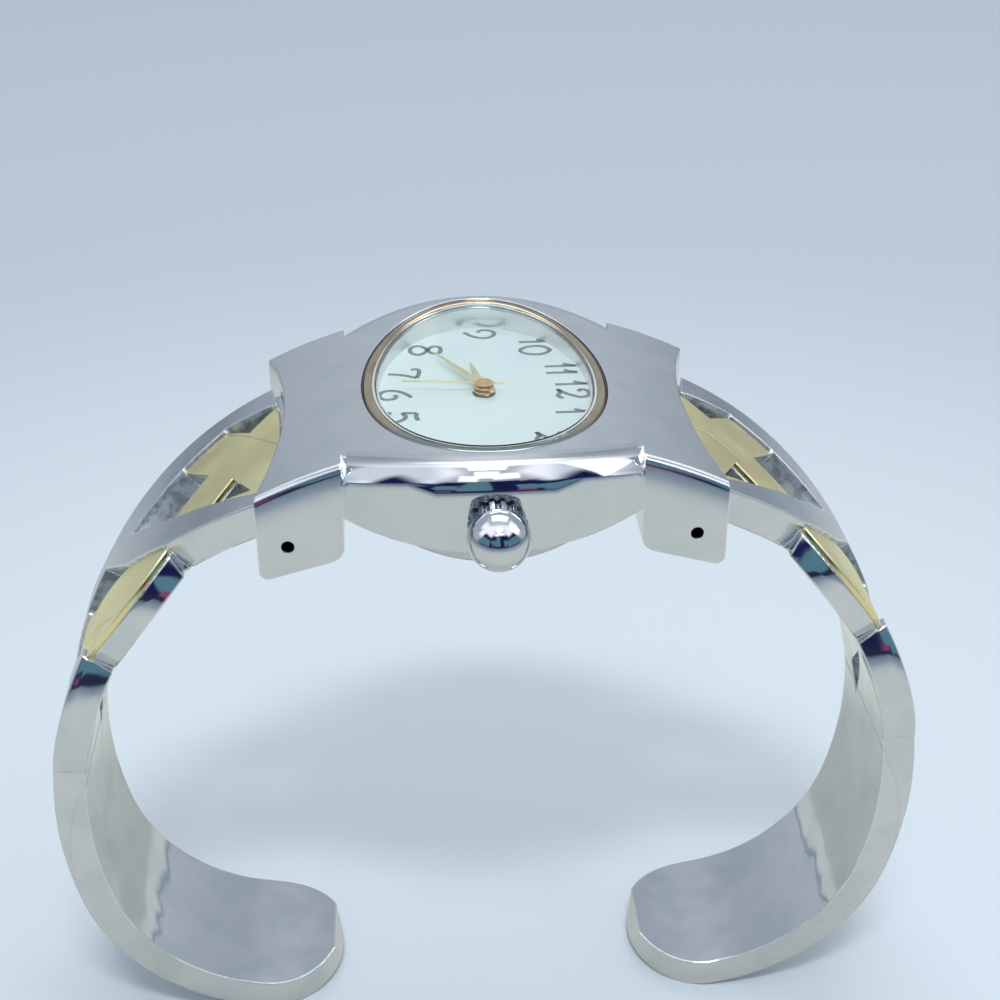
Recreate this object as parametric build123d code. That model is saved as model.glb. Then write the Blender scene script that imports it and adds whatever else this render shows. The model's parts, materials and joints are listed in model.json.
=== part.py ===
# Cuff watch: an oval quartz watch whose two-tone openwork arms open on sprung hinges.
# Millimetres. Origin: centre of the case back's outer face, on the dial axis.
# +X points to 12 o'clock, -Y to the crown at 3 o'clock, +Z out through the glass.

import os
from math import asin, cos, degrees, hypot, pi, radians, sin, sqrt

from build123d import *

# Driving sizes of the cuff
band_radius = 32.4          # outer face of the arms
band_thickness = 2.4
band_height = 6.6           # the arms' curve, carried on to the dial axis, above the case back
side_turn = 105.0           # degrees from the dial axis where the side curve ends
corner_radius = 16.0        # outer face of the curve under the wrist
tip_reach = 12.0            # half of the gap between the two tips
tip_half_width = 6.0
overrun = 1.0               # how far a cutter runs past what it cuts

# Driving sizes of the case
crown_rise = 1.2            # the case top stands this far outside the arms' curve
belly_half_length = 9.8     # along 12 to 6, from the dial axis to where the lugs start
lug_length = 5.7
case_half_width = 10.4      # along 3 to 9, over the lugs
belly_half_width = 13.6     # along 3 to 9, over the rounded middle
shoulder_plate = 1.5
ear_thickness = 3.2
ear_drop_inner = 1.05       # from the hinge pin down to the lug's lower edge, beside the middle
ear_drop_outer = 2.65       # the same at the lug's end
ear_round = 1.2
ear_end_round = 0.6
end_hollow = 1.6            # how far the shoulder's end edge curves in
hull_height = 1.3           # lowest line of the rounded middle
hull_rise = 1.1             # how much higher that line is beside the lugs
edge_bevel = 1.1
edge_ease = 0.35            # second, steeper bevel under the first
lug_bevel = 0.22
cavity_half_length = 8.2
cavity_half_width = 11.7
collar_wall = 1.0
back_thickness = 0.7
opening_half_length = 8.5   # the oval opening round the glass
opening_half_width = 12.0
lip_bottom = 5.75
lip_top = 6.05
fit_gap = 0.03              # radial gap of pieces that are pressed or glued in place

# Driving sizes of the glass and dial
rim_width = 0.75
rim_sink = 0.05
rim_seat = 0.2              # how far the rim's seat reaches under the glass
gasket_width = 0.16
glass_thickness = 0.75
reflector_wall = 0.15
dial_top = 5.5
dial_thickness = 0.4
dial_margin = 0.25
dial_bore_radius = 0.8

# Driving sizes of the hinges
pin_inset = 2.0             # from the lug's end in to the pin
pin_depth = 2.97            # from the arms' curve in to the pin
pin_radius = 0.4
pin_clearance = 0.04
pin_end_sink = 1.0
open_turn = 8.0             # degrees that each arm opens
knuckle_radius = 2.2
tongue_radius = 2.6
tongue_side_gap = 0.25
hinge_gap = 0.05
spring_wire = 0.4
wire_sides = 8
spring_turns = 5
spring_pitch = 0.62
spring_bore_gap = 0.35
spring_pocket_gap = 0.3
spring_tilt = 50.0          # degrees that the spring's legs lean
spring_leg_back = 3.6
spring_leg_front = 1.6

# Driving sizes of the two-tone weave
weave_reach = 10.0
weave_lead = 14.9           # degrees from the lug's end to the first waist
weave_pitch = 19.0          # degrees from one waist to the next
inlay_sink = 0.3
inlay_thickness = 0.4
inlay_gap = 0.02
near_lug_share = 0.99
near_swell_shares = (0.83, 0.76, 0.70)
near_waist_shares = (0.54, 0.57, 0.60)
far_lug_share = 0.70
far_swell_shares = (0.79, 0.70)
far_waist_shares = (0.63, 0.60)

# Each table holds (degrees from the waist, share of weave_reach towards 9 o'clock)
sliver_shares = ((-15.8, 0.505), (-8.0, 0.58), (-12.2, 0.33))
far_window_shares = ((-0.8, 0.45), (-6.0, 0.08), (0.2, -0.20), (9.2, 0.27))
near_window_shares = ((-13.4, -0.56), (-10.3, -0.23), (-7.2, -0.43))
plate_shares = ((-19.0, 0.46), (-8.2, 0.56), (-1.2, 0.46), (-0.4, 0.38), (7.0, 0.20), (-1.0, -0.24),
                (-7.5, -0.47), (-13.9, -0.69), (-19.0, -0.80))
edge_window_shares = ((-9.8, -0.16), (-1.6, 0.42), (5.0, 0.33), (0.8, 0.06))
tail_window_shares = ((-8.9, -0.08), (-1.6, 0.36), (3.0, 0.24))
strand_shares = ((-18.8, -0.52), (-9.0, -0.12), (-0.6, 0.38), (0.2, 0.30), (0.2, -0.50),
                 (-0.3, -1.10), (-18.8, -1.10))
tail_shares = ((-19.3, 0.30), (-14.2, 0.30), (-9.4, 0.46), (-0.6, 0.42), (-9.0, -0.12), (-19.3, -0.50))

# Driving sizes of the crown
stem_height = 3.4
stem_radius = 0.45
stem_inner_end = 5.6
tube_radius = 0.85
tube_clearance = 0.04
ball_radius = 2.05
ball_offset = 15.3
ball_back = 0.3             # how far the ball reaches behind its middle
skirt_radius = 1.95
skirt_start = 13.85
skirt_bore = 1.25
flute_radius = 0.22
flute_count = 16
crown_ring_width = 0.3
clutch_radius = 0.75
clutch_length = 0.7
clutch_end = 6.8
groove_depth = 0.15
groove_width = 0.5
groove_offset = 7.6
lever_thickness = 0.3
pull_travel = 1.0

# Driving sizes of the movement, by height above the case back
plate_half_length = 6.4
plate_radius = 8.9
plate_bottom = 3.9
plate_thickness = 0.8
bridge_bottom = 1.4
bridge_thickness = 0.35
board_thickness = 0.2
pivot_clearance = 0.03
arbor_radius = 0.15
pivot_sink = 0.15
pillar_radius = 0.55
screw_radius = 0.25
screw_head_radius = 0.5
screw_head = 0.2
screw_depth = 0.9
layer_gap = 0.02
wheel_thickness = 0.15
battery_radius = 2.9
battery_thickness = 2.15
battery_offset = 5.95
clamp_thickness = 0.22
clamp_width = 1.3
holder_gap = 0.05
can_radius = 0.6
can_length = 4.2
chip_side = 1.6
chip_height = 0.4
coil_radius = 0.75
coil_length = 2.8
core_radius = 0.3
core_length = 4.2
stator_thickness = 0.2
rotor_radius = 0.8
rotor_height = 0.45
cannon_radius = 0.38
cannon_wall = 0.17
hour_tube_wall = 0.16

# Gear train: teeth and centre distances
fourth_teeth = 40
fourth_pinion_teeth = 8
third_teeth = 60
third_pinion_teeth = 8
centre_teeth = 64
cannon_teeth = 12
minute_teeth = 36
minute_pinion_teeth = 10
hour_teeth = 40
fifth_teeth = 48
fifth_pinion_teeth = 8
rotor_pinion_teeth = 8
third_distance = 3.4
third_bearing = 220.0
fifth_distance = 3.36
fifth_bearing = -25.0
rotor_distance = 2.1
rotor_bearing = -60.0
minute_distance = 2.2
minute_bearing = 60.0
fourth_level = 2.9
fifth_level = 2.5
third_level = 3.15
centre_level = 3.6
motion_level = 4.78

# Hands
hour_hand_length = 4.2
minute_hand_length = 6.4
second_hand_length = 5.6
hour_hand_time = 8.67       # hours shown
minute_hand_time = 40.0
second_hand_time = 31.0
hand_thickness = 0.1
hand_gap = 0.16
hand_first_gap = 0.22
hand_width = 0.5
second_width = 0.16
hub_radius = 0.75

# Sizes worked out from those above
bend_z = band_height - band_radius
top_radius = band_radius + crown_rise
far = 4 * band_radius
case_half_length = belly_half_length + lug_length
waist_turn = degrees(asin(case_half_length / band_radius)) + weave_lead
pin_x = case_half_length - pin_inset
pin_height = bend_z + sqrt((band_radius - pin_depth) ** 2 - pin_x ** 2)
ear_bottom_inner = pin_height - ear_drop_inner
ear_bottom_outer = pin_height - ear_drop_outer
glass_half_length = opening_half_length - rim_width - gasket_width
glass_half_width = opening_half_width - rim_width - gasket_width
lip_half_length = glass_half_length - rim_seat
lip_half_width = glass_half_width - rim_seat
side = radians(side_turn)
corner_x = (band_radius - corner_radius) * sin(side)
corner_z = bend_z + (band_radius - corner_radius) * cos(side)
plate_top = plate_bottom + plate_thickness
bridge_top = bridge_bottom + bridge_thickness
dial_bottom = dial_top - dial_thickness
hollow_radius = (case_half_width ** 2 + end_hollow ** 2) / (2 * end_hollow)
hollow_x = case_half_length - end_hollow + hollow_radius
glass_under = top_radius - glass_thickness
spring_radius = pin_radius + spring_bore_gap + spring_wire / 2


def block(x0, x1, y0, y1, z0, z1):
    size = Box(x1 - x0, y1 - y0, z1 - z0)
    return Pos((x0 + x1) / 2, (y0 + y1) / 2, (z0 + z1) / 2) * size


def disc(radius, z0, z1, x=0, y=0):
    return Pos(x, y, (z0 + z1) / 2) * Cylinder(radius, z1 - z0)


def oval(half_length, half_width, z0, z1):
    return Pos(0, 0, z0) * extrude(Ellipse(half_length, half_width), z1 - z0)


def drum(radius, x=0, z=None, half=None):
    # A roller whose axis runs along Y
    half = half or belly_half_width + overrun
    z = bend_z if z is None else z
    return Pos(x, 0, z) * Rot(90, 0, 0) * Cylinder(radius, 2 * half)


def across(sketch, half):
    # A side view in X and Z, thickened both ways along Y
    return extrude(Plane.XZ * sketch, half, both=True)


def tube_along_y(radius, y0, y1, x=0, z=0):
    return Pos(x, (y0 + y1) / 2, z) * Rot(90, 0, 0) * Cylinder(radius, abs(y1 - y0))


def at_bearing(distance, bearing):
    return distance * cos(radians(bearing)), distance * sin(radians(bearing))


third_at = at_bearing(third_distance, third_bearing)
fifth_at = at_bearing(fifth_distance, fifth_bearing)
rotor_step = at_bearing(rotor_distance, rotor_bearing)
rotor_at = (fifth_at[0] + rotor_step[0], fifth_at[1] + rotor_step[1])
minute_at = at_bearing(minute_distance, minute_bearing)

# Places of the movement's fixed pieces, as shares of the plate's radius
pillar_shares = ((-0.49, 0.20), (0.52, 0.18), (0.028, -0.535))
pillars = [(sx * plate_radius, sy * plate_radius) for sx, sy in pillar_shares]
coil_shares = (0.34, -0.74)
can_shares = (-0.495, -0.58)
chip_shares = (-0.25, -0.80)
lever_share = -0.21
board_share = 0.38


# Case

def belly_plan():
    rounding = (belly_half_length ** 2 + (belly_half_width - case_half_width) ** 2) \
        / (2 * (belly_half_width - case_half_width))
    shift = rounding - belly_half_width
    near = Pos(0, shift) * Circle(rounding)
    return near & (Pos(0, -shift) * Circle(rounding))


def case_end():
    # The space beyond the hollow end edge of a lug, as a tall roller
    return Pos(hollow_x, 0, 0) * Cylinder(hollow_radius, far)


def lug_side():
    inner, outer = belly_half_length, case_half_length
    ear = Polygon((inner, ear_bottom_inner), (outer, ear_bottom_outer), (outer, top_radius), (inner, top_radius),
                  align=None)
    ear = fillet(ear.vertices().sort_by(Axis.Y)[1], ear_round)
    ear = across(fillet(ear.vertices().sort_by(Axis.Y)[0], ear_end_round), case_half_width)
    slot = block(inner, outer + overrun, -case_half_width + ear_thickness, case_half_width - ear_thickness,
                 ear_bottom_outer - overrun, top_radius)
    plate = block(inner, outer, -case_half_width, case_half_width, 0, top_radius) - drum(top_radius - shoulder_plate)
    lug = ((ear - slot) + plate) & drum(top_radius)
    rims = lug.edges().filter_by(lambda e: abs(e.center().Y) > case_half_width - layer_gap
                                 and hypot(e.center().X, e.center().Z - bend_z) > top_radius - lug_bevel)
    return chamfer(rims, lug_bevel)


def make_case():
    hull = ((belly_half_length ** 2 + hull_rise ** 2) / (2 * hull_rise))
    middle = Pos(0, 0, hull_height - overrun) * extrude(belly_plan(), top_radius)
    middle &= block(-belly_half_length, belly_half_length, -far, far, -far, far)
    middle &= drum(top_radius)
    edges = middle.edges().filter_by(lambda e: e.center().Z > dial_top and abs(e.center().Y) > case_half_width)
    middle = chamfer(edges, edge_bevel)
    edges = middle.edges().filter_by(lambda e: e.center().Z > dial_top
                                     and abs(e.center().Y) > belly_half_width - edge_bevel / 2)
    middle = chamfer(edges, edge_ease)
    middle &= drum(hull, z=hull_height + hull)
    collar = oval(cavity_half_length + collar_wall, cavity_half_width + collar_wall, back_thickness, lip_top)
    body = middle + collar
    for turn in (0, 180):
        body += Rot(0, 0, turn) * (lug_side() - case_end())
    body -= oval(cavity_half_length, cavity_half_width, 0, lip_bottom)
    body -= oval(lip_half_length, lip_half_width, 0, top_radius)
    body -= oval(opening_half_length, opening_half_width, lip_top, top_radius)
    body -= oval(cavity_half_length + collar_wall + fit_gap, cavity_half_width + collar_wall + fit_gap, 0,
                 back_thickness)
    body -= tube_along_y(tube_radius, -far, 0, z=stem_height)
    for x in (-pin_x, pin_x):
        body -= tube_along_y(pin_radius + fit_gap, -far, far, x=x, z=pin_height)
    return body


def make_case_back():
    plate = oval(cavity_half_length + collar_wall, cavity_half_width + collar_wall, 0, back_thickness)
    plate = chamfer(plate.edges().group_by(Axis.Z)[0], back_thickness / 3)
    rim_out = oval(cavity_half_length - holder_gap - gasket_width, cavity_half_width - holder_gap - gasket_width,
                   back_thickness, back_thickness * 2)
    rim_in = oval(cavity_half_length - collar_wall, cavity_half_width - collar_wall, back_thickness - overrun / 5,
                  back_thickness * 2)
    return plate + rim_out - rim_in


def make_back_gasket():
    outer = oval(cavity_half_length - layer_gap, cavity_half_width - layer_gap, back_thickness + layer_gap,
                 back_thickness * 1.6)
    return outer - oval(cavity_half_length - gasket_width, cavity_half_width - gasket_width, 0, back_thickness * 2)


# Glass, rim and dial

def make_rim():
    outer = oval(opening_half_length - fit_gap, opening_half_width - fit_gap, lip_top, top_radius)
    hole = oval(opening_half_length - rim_width, opening_half_width - rim_width, 0, top_radius)
    seat = oval(opening_half_length - rim_width, opening_half_width - rim_width, lip_top, top_radius)
    seat = (seat & drum(glass_under - layer_gap)) - oval(lip_half_length, lip_half_width, 0, top_radius)
    return ((outer - hole) & drum(top_radius - rim_sink)) + seat


def make_glass_gasket():
    outer = oval(opening_half_length - rim_width - layer_gap / 2, opening_half_width - rim_width - layer_gap / 2,
                 lip_top, top_radius)
    hole = oval(glass_half_length, glass_half_width, 0, top_radius)
    return ((outer - hole) & drum(top_radius - 2 * rim_sink)) - drum(glass_under)


def make_glass():
    pane = oval(glass_half_length - layer_gap, glass_half_width - layer_gap, lip_bottom, top_radius)
    return (pane & drum(top_radius)) - drum(glass_under)


def make_reflector():
    outer = oval(lip_half_length - fit_gap, lip_half_width - fit_gap, dial_top, top_radius)
    inner = oval(lip_half_length - fit_gap - reflector_wall, lip_half_width - fit_gap - reflector_wall, 0, top_radius)
    return (outer - inner) & drum(glass_under - layer_gap)


def make_dial():
    plate = oval(cavity_half_length - dial_margin, cavity_half_width - dial_margin, dial_bottom, dial_top)
    plate -= disc(dial_bore_radius, 0, far)
    for sign in (-1, 1):
        foot_x, foot_y = dial_foot(sign)
        plate += disc(arbor_radius * 2, plate_bottom + layer_gap, dial_bottom + layer_gap, foot_x, foot_y)
    return plate


def dial_foot(sign):
    return sign * plate_half_length * 0.85, -sign * plate_radius * 0.5


# Hands: each blade is drawn pointing to 12 and turned to the time it shows

def blade(length, tail, width, level):
    outline = Polygon((-tail, -width / 4), (0, -width / 2), (length * 0.45, -width / 2), (length, -width / 10),
                      (length, width / 10), (length * 0.45, width / 2), (0, width / 2), (-tail, width / 4), align=None)
    return Pos(0, 0, level) * extrude(outline, hand_thickness)


hour_level = dial_top + hand_first_gap
minute_level = hour_level + hand_thickness + hand_gap
second_level = minute_level + hand_thickness + hand_gap


def make_hour_hand():
    hand = blade(hour_hand_length, hub_radius * 1.3, hand_width, hour_level)
    hand += disc(hub_radius, hour_level, hour_level + hand_thickness)
    hand -= disc(cannon_radius + hour_tube_wall + pivot_clearance, 0, far)
    return Rot(0, 0, -hour_hand_time * 30) * hand


def make_minute_hand():
    hand = blade(minute_hand_length, hub_radius * 1.5, hand_width * 0.9, minute_level)
    hand += disc(hub_radius * 0.9, minute_level, minute_level + hand_thickness)
    hand -= disc(cannon_radius, 0, far)
    return Rot(0, 0, -minute_hand_time * 6) * hand


def make_second_hand():
    hand = blade(second_hand_length, second_hand_length * 0.27, second_width, second_level)
    hand += disc(hub_radius * 0.75, second_level, second_level + hand_thickness)
    hand -= disc(arbor_radius, 0, far)
    return Rot(0, 0, -second_hand_time * 6) * hand


# Gear wheels

def toothed(teeth, module, level, thickness, x, y, facing, gap_faces=False):
    # A wheel whose tooth, or gap, points at its partner along the bearing called facing
    pitch = teeth * module / 2
    step = 360 / teeth
    start = facing + (step / 2 if gap_faces else 0)
    tip, root = pitch + 0.8 * module, pitch - 1.1 * module
    corners = []
    for tooth in range(teeth):
        middle = start + tooth * step
        for radius, share in ((root, -0.32), (tip, -0.13), (tip, 0.13), (root, 0.32)):
            angle = radians(middle + share * step)
            corners.append((radius * cos(angle), radius * sin(angle)))
    return Pos(x, y, level) * extrude(Polygon(*corners, align=None), thickness)


def arbor(x, y, z0, z1, radius=arbor_radius):
    return disc(radius, z0, z1, x, y)


third_module = 2 * third_distance / (fourth_pinion_teeth + third_teeth)
centre_module = 2 * third_distance / (third_pinion_teeth + centre_teeth)
fourth_module = 2 * fifth_distance / (fifth_pinion_teeth + fourth_teeth)
fifth_module = 2 * rotor_distance / (rotor_pinion_teeth + fifth_teeth)
cannon_module = 2 * minute_distance / (cannon_teeth + minute_teeth)
hour_module = 2 * minute_distance / (minute_pinion_teeth + hour_teeth)
pivot_low = bridge_bottom + pivot_sink
pinion_length = wheel_thickness * 2


def make_fourth_wheel():
    wheel = toothed(fourth_teeth, fourth_module, fourth_level, wheel_thickness, 0, 0, fifth_bearing, True)
    wheel += toothed(fourth_pinion_teeth, third_module, fourth_level + wheel_thickness, pinion_length, 0, 0,
                     third_bearing)
    return wheel + arbor(0, 0, pivot_low, second_level + hand_thickness)


def make_third_wheel():
    x, y = third_at
    wheel = toothed(third_teeth, third_module, third_level, wheel_thickness, x, y, third_bearing + 180, True)
    wheel += toothed(third_pinion_teeth, centre_module, third_level + wheel_thickness,
                     centre_level + wheel_thickness - third_level - wheel_thickness, x, y, third_bearing + 180)
    return wheel + arbor(x, y, pivot_low, plate_bottom + pivot_sink * 2)


def make_centre_wheel():
    wheel = toothed(centre_teeth, centre_module, centre_level, wheel_thickness, 0, 0, third_bearing, True)
    wheel += disc(cannon_radius, centre_level, minute_level + hand_thickness)
    wheel += toothed(cannon_teeth, cannon_module, motion_level, wheel_thickness, 0, 0, minute_bearing)
    return wheel - disc(cannon_radius - cannon_wall, 0, far)


def make_minute_wheel():
    x, y = minute_at
    wheel = toothed(minute_teeth, cannon_module, motion_level, wheel_thickness / 2, x, y, minute_bearing + 180, True)
    wheel += toothed(minute_pinion_teeth, hour_module, motion_level + wheel_thickness / 2, wheel_thickness, x, y,
                     minute_bearing + 180)
    return wheel + arbor(x, y, plate_bottom + pivot_sink, motion_level + wheel_thickness)


def make_hour_wheel():
    level = motion_level + wheel_thickness + layer_gap / 2
    wheel = toothed(hour_teeth, hour_module, level, wheel_thickness / 2, 0, 0, minute_bearing, True)
    outer = cannon_radius + pivot_clearance + hour_tube_wall
    wheel += disc(outer, level, hour_level + hand_thickness)
    return wheel - disc(cannon_radius + pivot_clearance, 0, far)


def make_fifth_wheel():
    x, y = fifth_at
    wheel = toothed(fifth_teeth, fifth_module, fifth_level, wheel_thickness, x, y, rotor_bearing, True)
    wheel += toothed(fifth_pinion_teeth, fourth_module, fifth_level + wheel_thickness,
                     fourth_level + wheel_thickness - fifth_level - wheel_thickness + layer_gap, x, y,
                     fifth_bearing + 180)
    return wheel + arbor(x, y, pivot_low, plate_bottom + pivot_sink * 2)


def make_rotor():
    x, y = rotor_at
    top = plate_bottom - pinion_length
    rotor = disc(rotor_radius, top - rotor_height, top, x, y)
    rotor += toothed(rotor_pinion_teeth, fifth_module, fifth_level - layer_gap, pinion_length, x, y,
                     rotor_bearing + 180)
    return rotor + arbor(x, y, pivot_low, plate_bottom + pivot_sink * 2)


# Fixed pieces of the movement

def plate_plan(inset=0):
    return Circle(plate_radius - inset) & Rectangle(2 * (plate_half_length - inset), 2 * plate_radius)


def slab(sketch, z0, z1):
    return Pos(0, 0, z0) * extrude(sketch, z1 - z0)


def make_main_plate():
    plate = slab(plate_plan(), plate_bottom, plate_top)
    for x, y in pillars:
        plate += disc(pillar_radius, bridge_top + layer_gap, plate_bottom, x, y)
        plate -= disc(screw_radius + pivot_clearance, 0, bridge_top + screw_depth, x, y)
    plate -= disc(cannon_radius + pivot_clearance, 0, far)
    for x, y in (third_at, fifth_at, rotor_at, minute_at):
        plate -= disc(arbor_radius + pivot_clearance, 0, far, x, y)
    for sign in (-1, 1):
        foot_x, foot_y = dial_foot(sign)
        plate -= disc(arbor_radius * 2 + fit_gap, 0, far, foot_x, foot_y)
    plate -= disc(arbor_radius + pivot_clearance, 0, far, *lever_place())
    slot = clutch_radius + 2 * holder_gap
    return plate - block(-slot, slot, -far, clutch_length - clutch_end + slot, 0, stem_height + slot)


def make_train_bridge():
    lobes = [(0, 0), third_at, fifth_at, rotor_at] + pillars
    web = make_hull([Pos(x, y) * Circle(pillar_radius) for x, y in lobes])
    bridge = slab(web, bridge_bottom, bridge_top)
    bridge -= disc(battery_radius + holder_gap, 0, far, 0, battery_offset)
    for x, y in lobes[:4]:
        bridge -= disc(arbor_radius + pivot_clearance, 0, far, x, y)
    for x, y in pillars:
        bridge -= disc(screw_radius + pivot_clearance, 0, far, x, y)
    return bridge


def make_hull(circles):
    # The straight-sided outline round a set of equal circles
    centres = sorted((c.center().X, c.center().Y) for c in circles)
    chain = []
    for points in (centres, centres[::-1]):
        part = []
        for point in points:
            while len(part) > 1 and turn_of(part[-2], part[-1], point) <= 0:
                part.pop()
            part.append(point)
        chain += part[:-1]
    return offset(Polygon(*chain, align=None), pillar_radius)


def turn_of(a, b, c):
    return (b[0] - a[0]) * (c[1] - a[1]) - (b[1] - a[1]) * (c[0] - a[0])


def make_screws():
    group = []
    for number, (x, y) in enumerate(pillars):
        seat = bridge_bottom - (clamp_thickness + layer_gap if number < 2 else 0) - layer_gap
        head = disc(screw_head_radius, seat - screw_head, seat, x, y)
        slot = block(x - screw_head_radius, x + screw_head_radius, y - screw_head / 3, y + screw_head / 3,
                     seat - screw_head, seat - screw_head / 2)
        group.append(head + disc(screw_radius, seat, bridge_top + screw_depth - layer_gap, x, y) - slot)
    return Compound(children=group)


def make_battery():
    cell = disc(battery_radius, bridge_bottom, bridge_bottom + battery_thickness, 0, battery_offset)
    cell = chamfer(cell.edges().group_by(Axis.Z)[-1], battery_thickness / 12)
    return cell - (disc(battery_radius * 0.86, bridge_bottom, bridge_bottom + board_thickness, 0, battery_offset)
                   - disc(battery_radius * 0.8, 0, far, 0, battery_offset))


def make_battery_clamp():
    z1 = bridge_bottom - layer_gap
    z0 = z1 - clamp_thickness
    (xa, ya), (xb, yb) = pillars[:2]
    bar = Polygon((xa, ya - clamp_width / 2), (xb, yb - clamp_width / 2), (xb, yb + clamp_width / 2),
                  (xa, ya + clamp_width / 2), align=None)
    tongue = Pos(0, (ya + battery_offset) / 2) * Rectangle(clamp_width, battery_offset - ya)
    sketch = bar + tongue + Pos(0, battery_offset) * Circle(clamp_width * 0.6)
    for x, y in pillars[:2]:
        sketch += Pos(x, y) * Circle(clamp_width / 2)
        sketch -= Pos(x, y) * Circle(screw_radius + pivot_clearance)
    return slab(sketch, z0, z1)


def make_holder():
    body = oval(cavity_half_length - holder_gap, cavity_half_width - holder_gap, bridge_bottom, dial_bottom - layer_gap)
    body -= slab(offset(plate_plan(), holder_gap), 0, far)
    return body - block(-clutch_radius, clutch_radius, -far, 0, 0, stem_height + clutch_radius)


def make_circuit_board():
    sketch = plate_plan(holder_gap) & (Pos(0, -plate_radius) * Rectangle(far, 2 * plate_radius * board_share))
    return slab(sketch, bridge_bottom, bridge_bottom + board_thickness)


def make_chip():
    x, y = (share * plate_radius for share in chip_shares)
    base = bridge_bottom + board_thickness
    half = chip_side / 2
    return block(x - half, x + half, y - half, y + half, base, base + chip_height)


def make_quartz_can():
    x, y = (share * plate_radius for share in can_shares)
    level = bridge_bottom + board_thickness + can_radius
    can = tube_along_y(can_radius, y - can_length / 2, y + can_length / 2, x=x, z=level)
    return chamfer(can.edges().group_by(Axis.Y)[0], can_radius / 3)


def coil_place():
    return coil_shares[0] * plate_radius, coil_shares[1] * plate_radius, plate_bottom - coil_radius - layer_gap


def make_coil():
    x, y, z = coil_place()
    turned = Pos(x, y, z) * Rot(0, 90, 0)
    bobbin = turned * Cylinder(coil_radius - board_thickness, coil_length)
    for sign in (-1, 1):
        bobbin += turned * Pos(0, 0, sign * coil_length / 2) * Cylinder(coil_radius, board_thickness)
    return bobbin + turned * Cylinder(core_radius, core_length)


def make_stator():
    x, y, z = coil_place()
    rx, ry = rotor_at
    z0 = z + core_radius + layer_gap
    half = core_length / 2
    leg = half - (coil_length + board_thickness) / 2 - holder_gap
    sketch = Pos(rx, ry) * Circle(rotor_radius * 1.5)
    for sign in (-1, 1):
        leg_x = x + sign * (half - leg / 2)
        sketch += Pos(leg_x, (y - core_radius + ry) / 2) * Rectangle(leg, ry - y + core_radius)
        sketch += Pos((leg_x + rx) / 2, ry - leg / 2) * Rectangle(abs(leg_x - rx) + leg, leg)
    sketch -= Pos(rx, ry) * Circle(rotor_radius + 2 * holder_gap)
    return slab(sketch, z0, z0 + stator_thickness)


# Crown and setting parts

def make_crown_tube():
    tube = tube_along_y(tube_radius - fit_gap / 3, -skirt_start, -cavity_half_width, z=stem_height)
    return tube - tube_along_y(stem_radius + tube_clearance, -far, 0, z=stem_height)


def make_stem():
    stem = tube_along_y(stem_radius, -ball_offset, -stem_inner_end, z=stem_height)
    ring = tube_along_y(stem_radius + overrun, -groove_offset - groove_width / 2, -groove_offset + groove_width / 2,
                        z=stem_height)
    ring -= tube_along_y(stem_radius - groove_depth, -far, far, z=stem_height)
    return stem - ring


def make_crown():
    skirt = tube_along_y(skirt_radius, -ball_offset, -skirt_start, z=stem_height)
    ball = Pos(0, -ball_offset, stem_height) * Sphere(ball_radius)
    crown = skirt + (ball & block(-far, far, -far, ball_back - ball_offset, -far, far))
    for number in range(flute_count):
        angle = 2 * pi * number / flute_count
        crown -= tube_along_y(flute_radius, ball_back - ball_offset + layer_gap, 0, x=skirt_radius * sin(angle),
                              z=stem_height + skirt_radius * cos(angle))
    crown -= tube_along_y(skirt_bore, -skirt_start - ball_radius / 2, 0, z=stem_height)
    return crown - tube_along_y(stem_radius, -ball_offset, 0, z=stem_height)


def make_crown_gasket():
    start = skirt_start + ball_radius / 2
    ring = tube_along_y(skirt_bore - layer_gap, -start, -start + crown_ring_width, z=stem_height)
    return ring - tube_along_y(stem_radius, -far, 0, z=stem_height)


def make_clutch_wheel():
    wheel = tube_along_y(clutch_radius, -clutch_end, -clutch_end + clutch_length, z=stem_height)
    for number in range(12):
        angle = 2 * pi * number / 12
        wheel -= tube_along_y(clutch_radius / 6, -clutch_end, -clutch_end + clutch_length / 2,
                              x=clutch_radius * sin(angle), z=stem_height + clutch_radius * cos(angle))
    return wheel - tube_along_y(stem_radius + tube_clearance, -far, 0, z=stem_height)


def lever_place():
    return lever_share * plate_radius, -groove_offset - pull_travel / 2


def make_setting_lever():
    x, y = lever_place()
    z1 = plate_bottom - layer_gap
    z0 = z1 - lever_thickness
    tip = -stem_radius + groove_depth / 2
    body = Polygon((x, y - pillar_radius), (tip, -groove_offset - groove_width / 4),
                   (tip, -groove_offset + groove_width / 4), (x, y + pillar_radius), align=None)
    return slab(body + Pos(x, y) * Circle(pillar_radius), z0, z1) + arbor(x, y, z0, plate_bottom + pivot_sink)


# Arms: the band follows one round curve, then a tighter one under the wrist

def band_curve(depth, start):
    tip = degrees(asin((corner_x - tip_reach) / corner_radius))
    upper = CenterArc((0, bend_z), band_radius - depth, 90 - side_turn, side_turn - start)
    lower = CenterArc((corner_x, corner_z), corner_radius - depth, -90 - tip, 90 + tip - side_turn + 90)
    return upper, lower


def band_profile(depth, thickness, start):
    outer, outer_low = band_curve(depth, start)
    inner, inner_low = band_curve(depth + thickness, start)
    first = Line(outer @ 1, inner @ 1)
    last = Line(outer_low @ 0, inner_low @ 0)
    return make_face(Curve() + [outer, outer_low, inner, inner_low, first, last])


def touch_plane(turn):
    # A plane that touches the band, turned from the dial axis, with its x along the band
    t = radians(turn)
    return Plane(origin=(band_radius * sin(t), 0, bend_z + band_radius * cos(t)), x_dir=(cos(t), 0, -sin(t)),
                 z_dir=(sin(t), 0, cos(t)))


def along(turn, middle):
    return band_radius * sin(radians(turn - middle))


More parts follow.
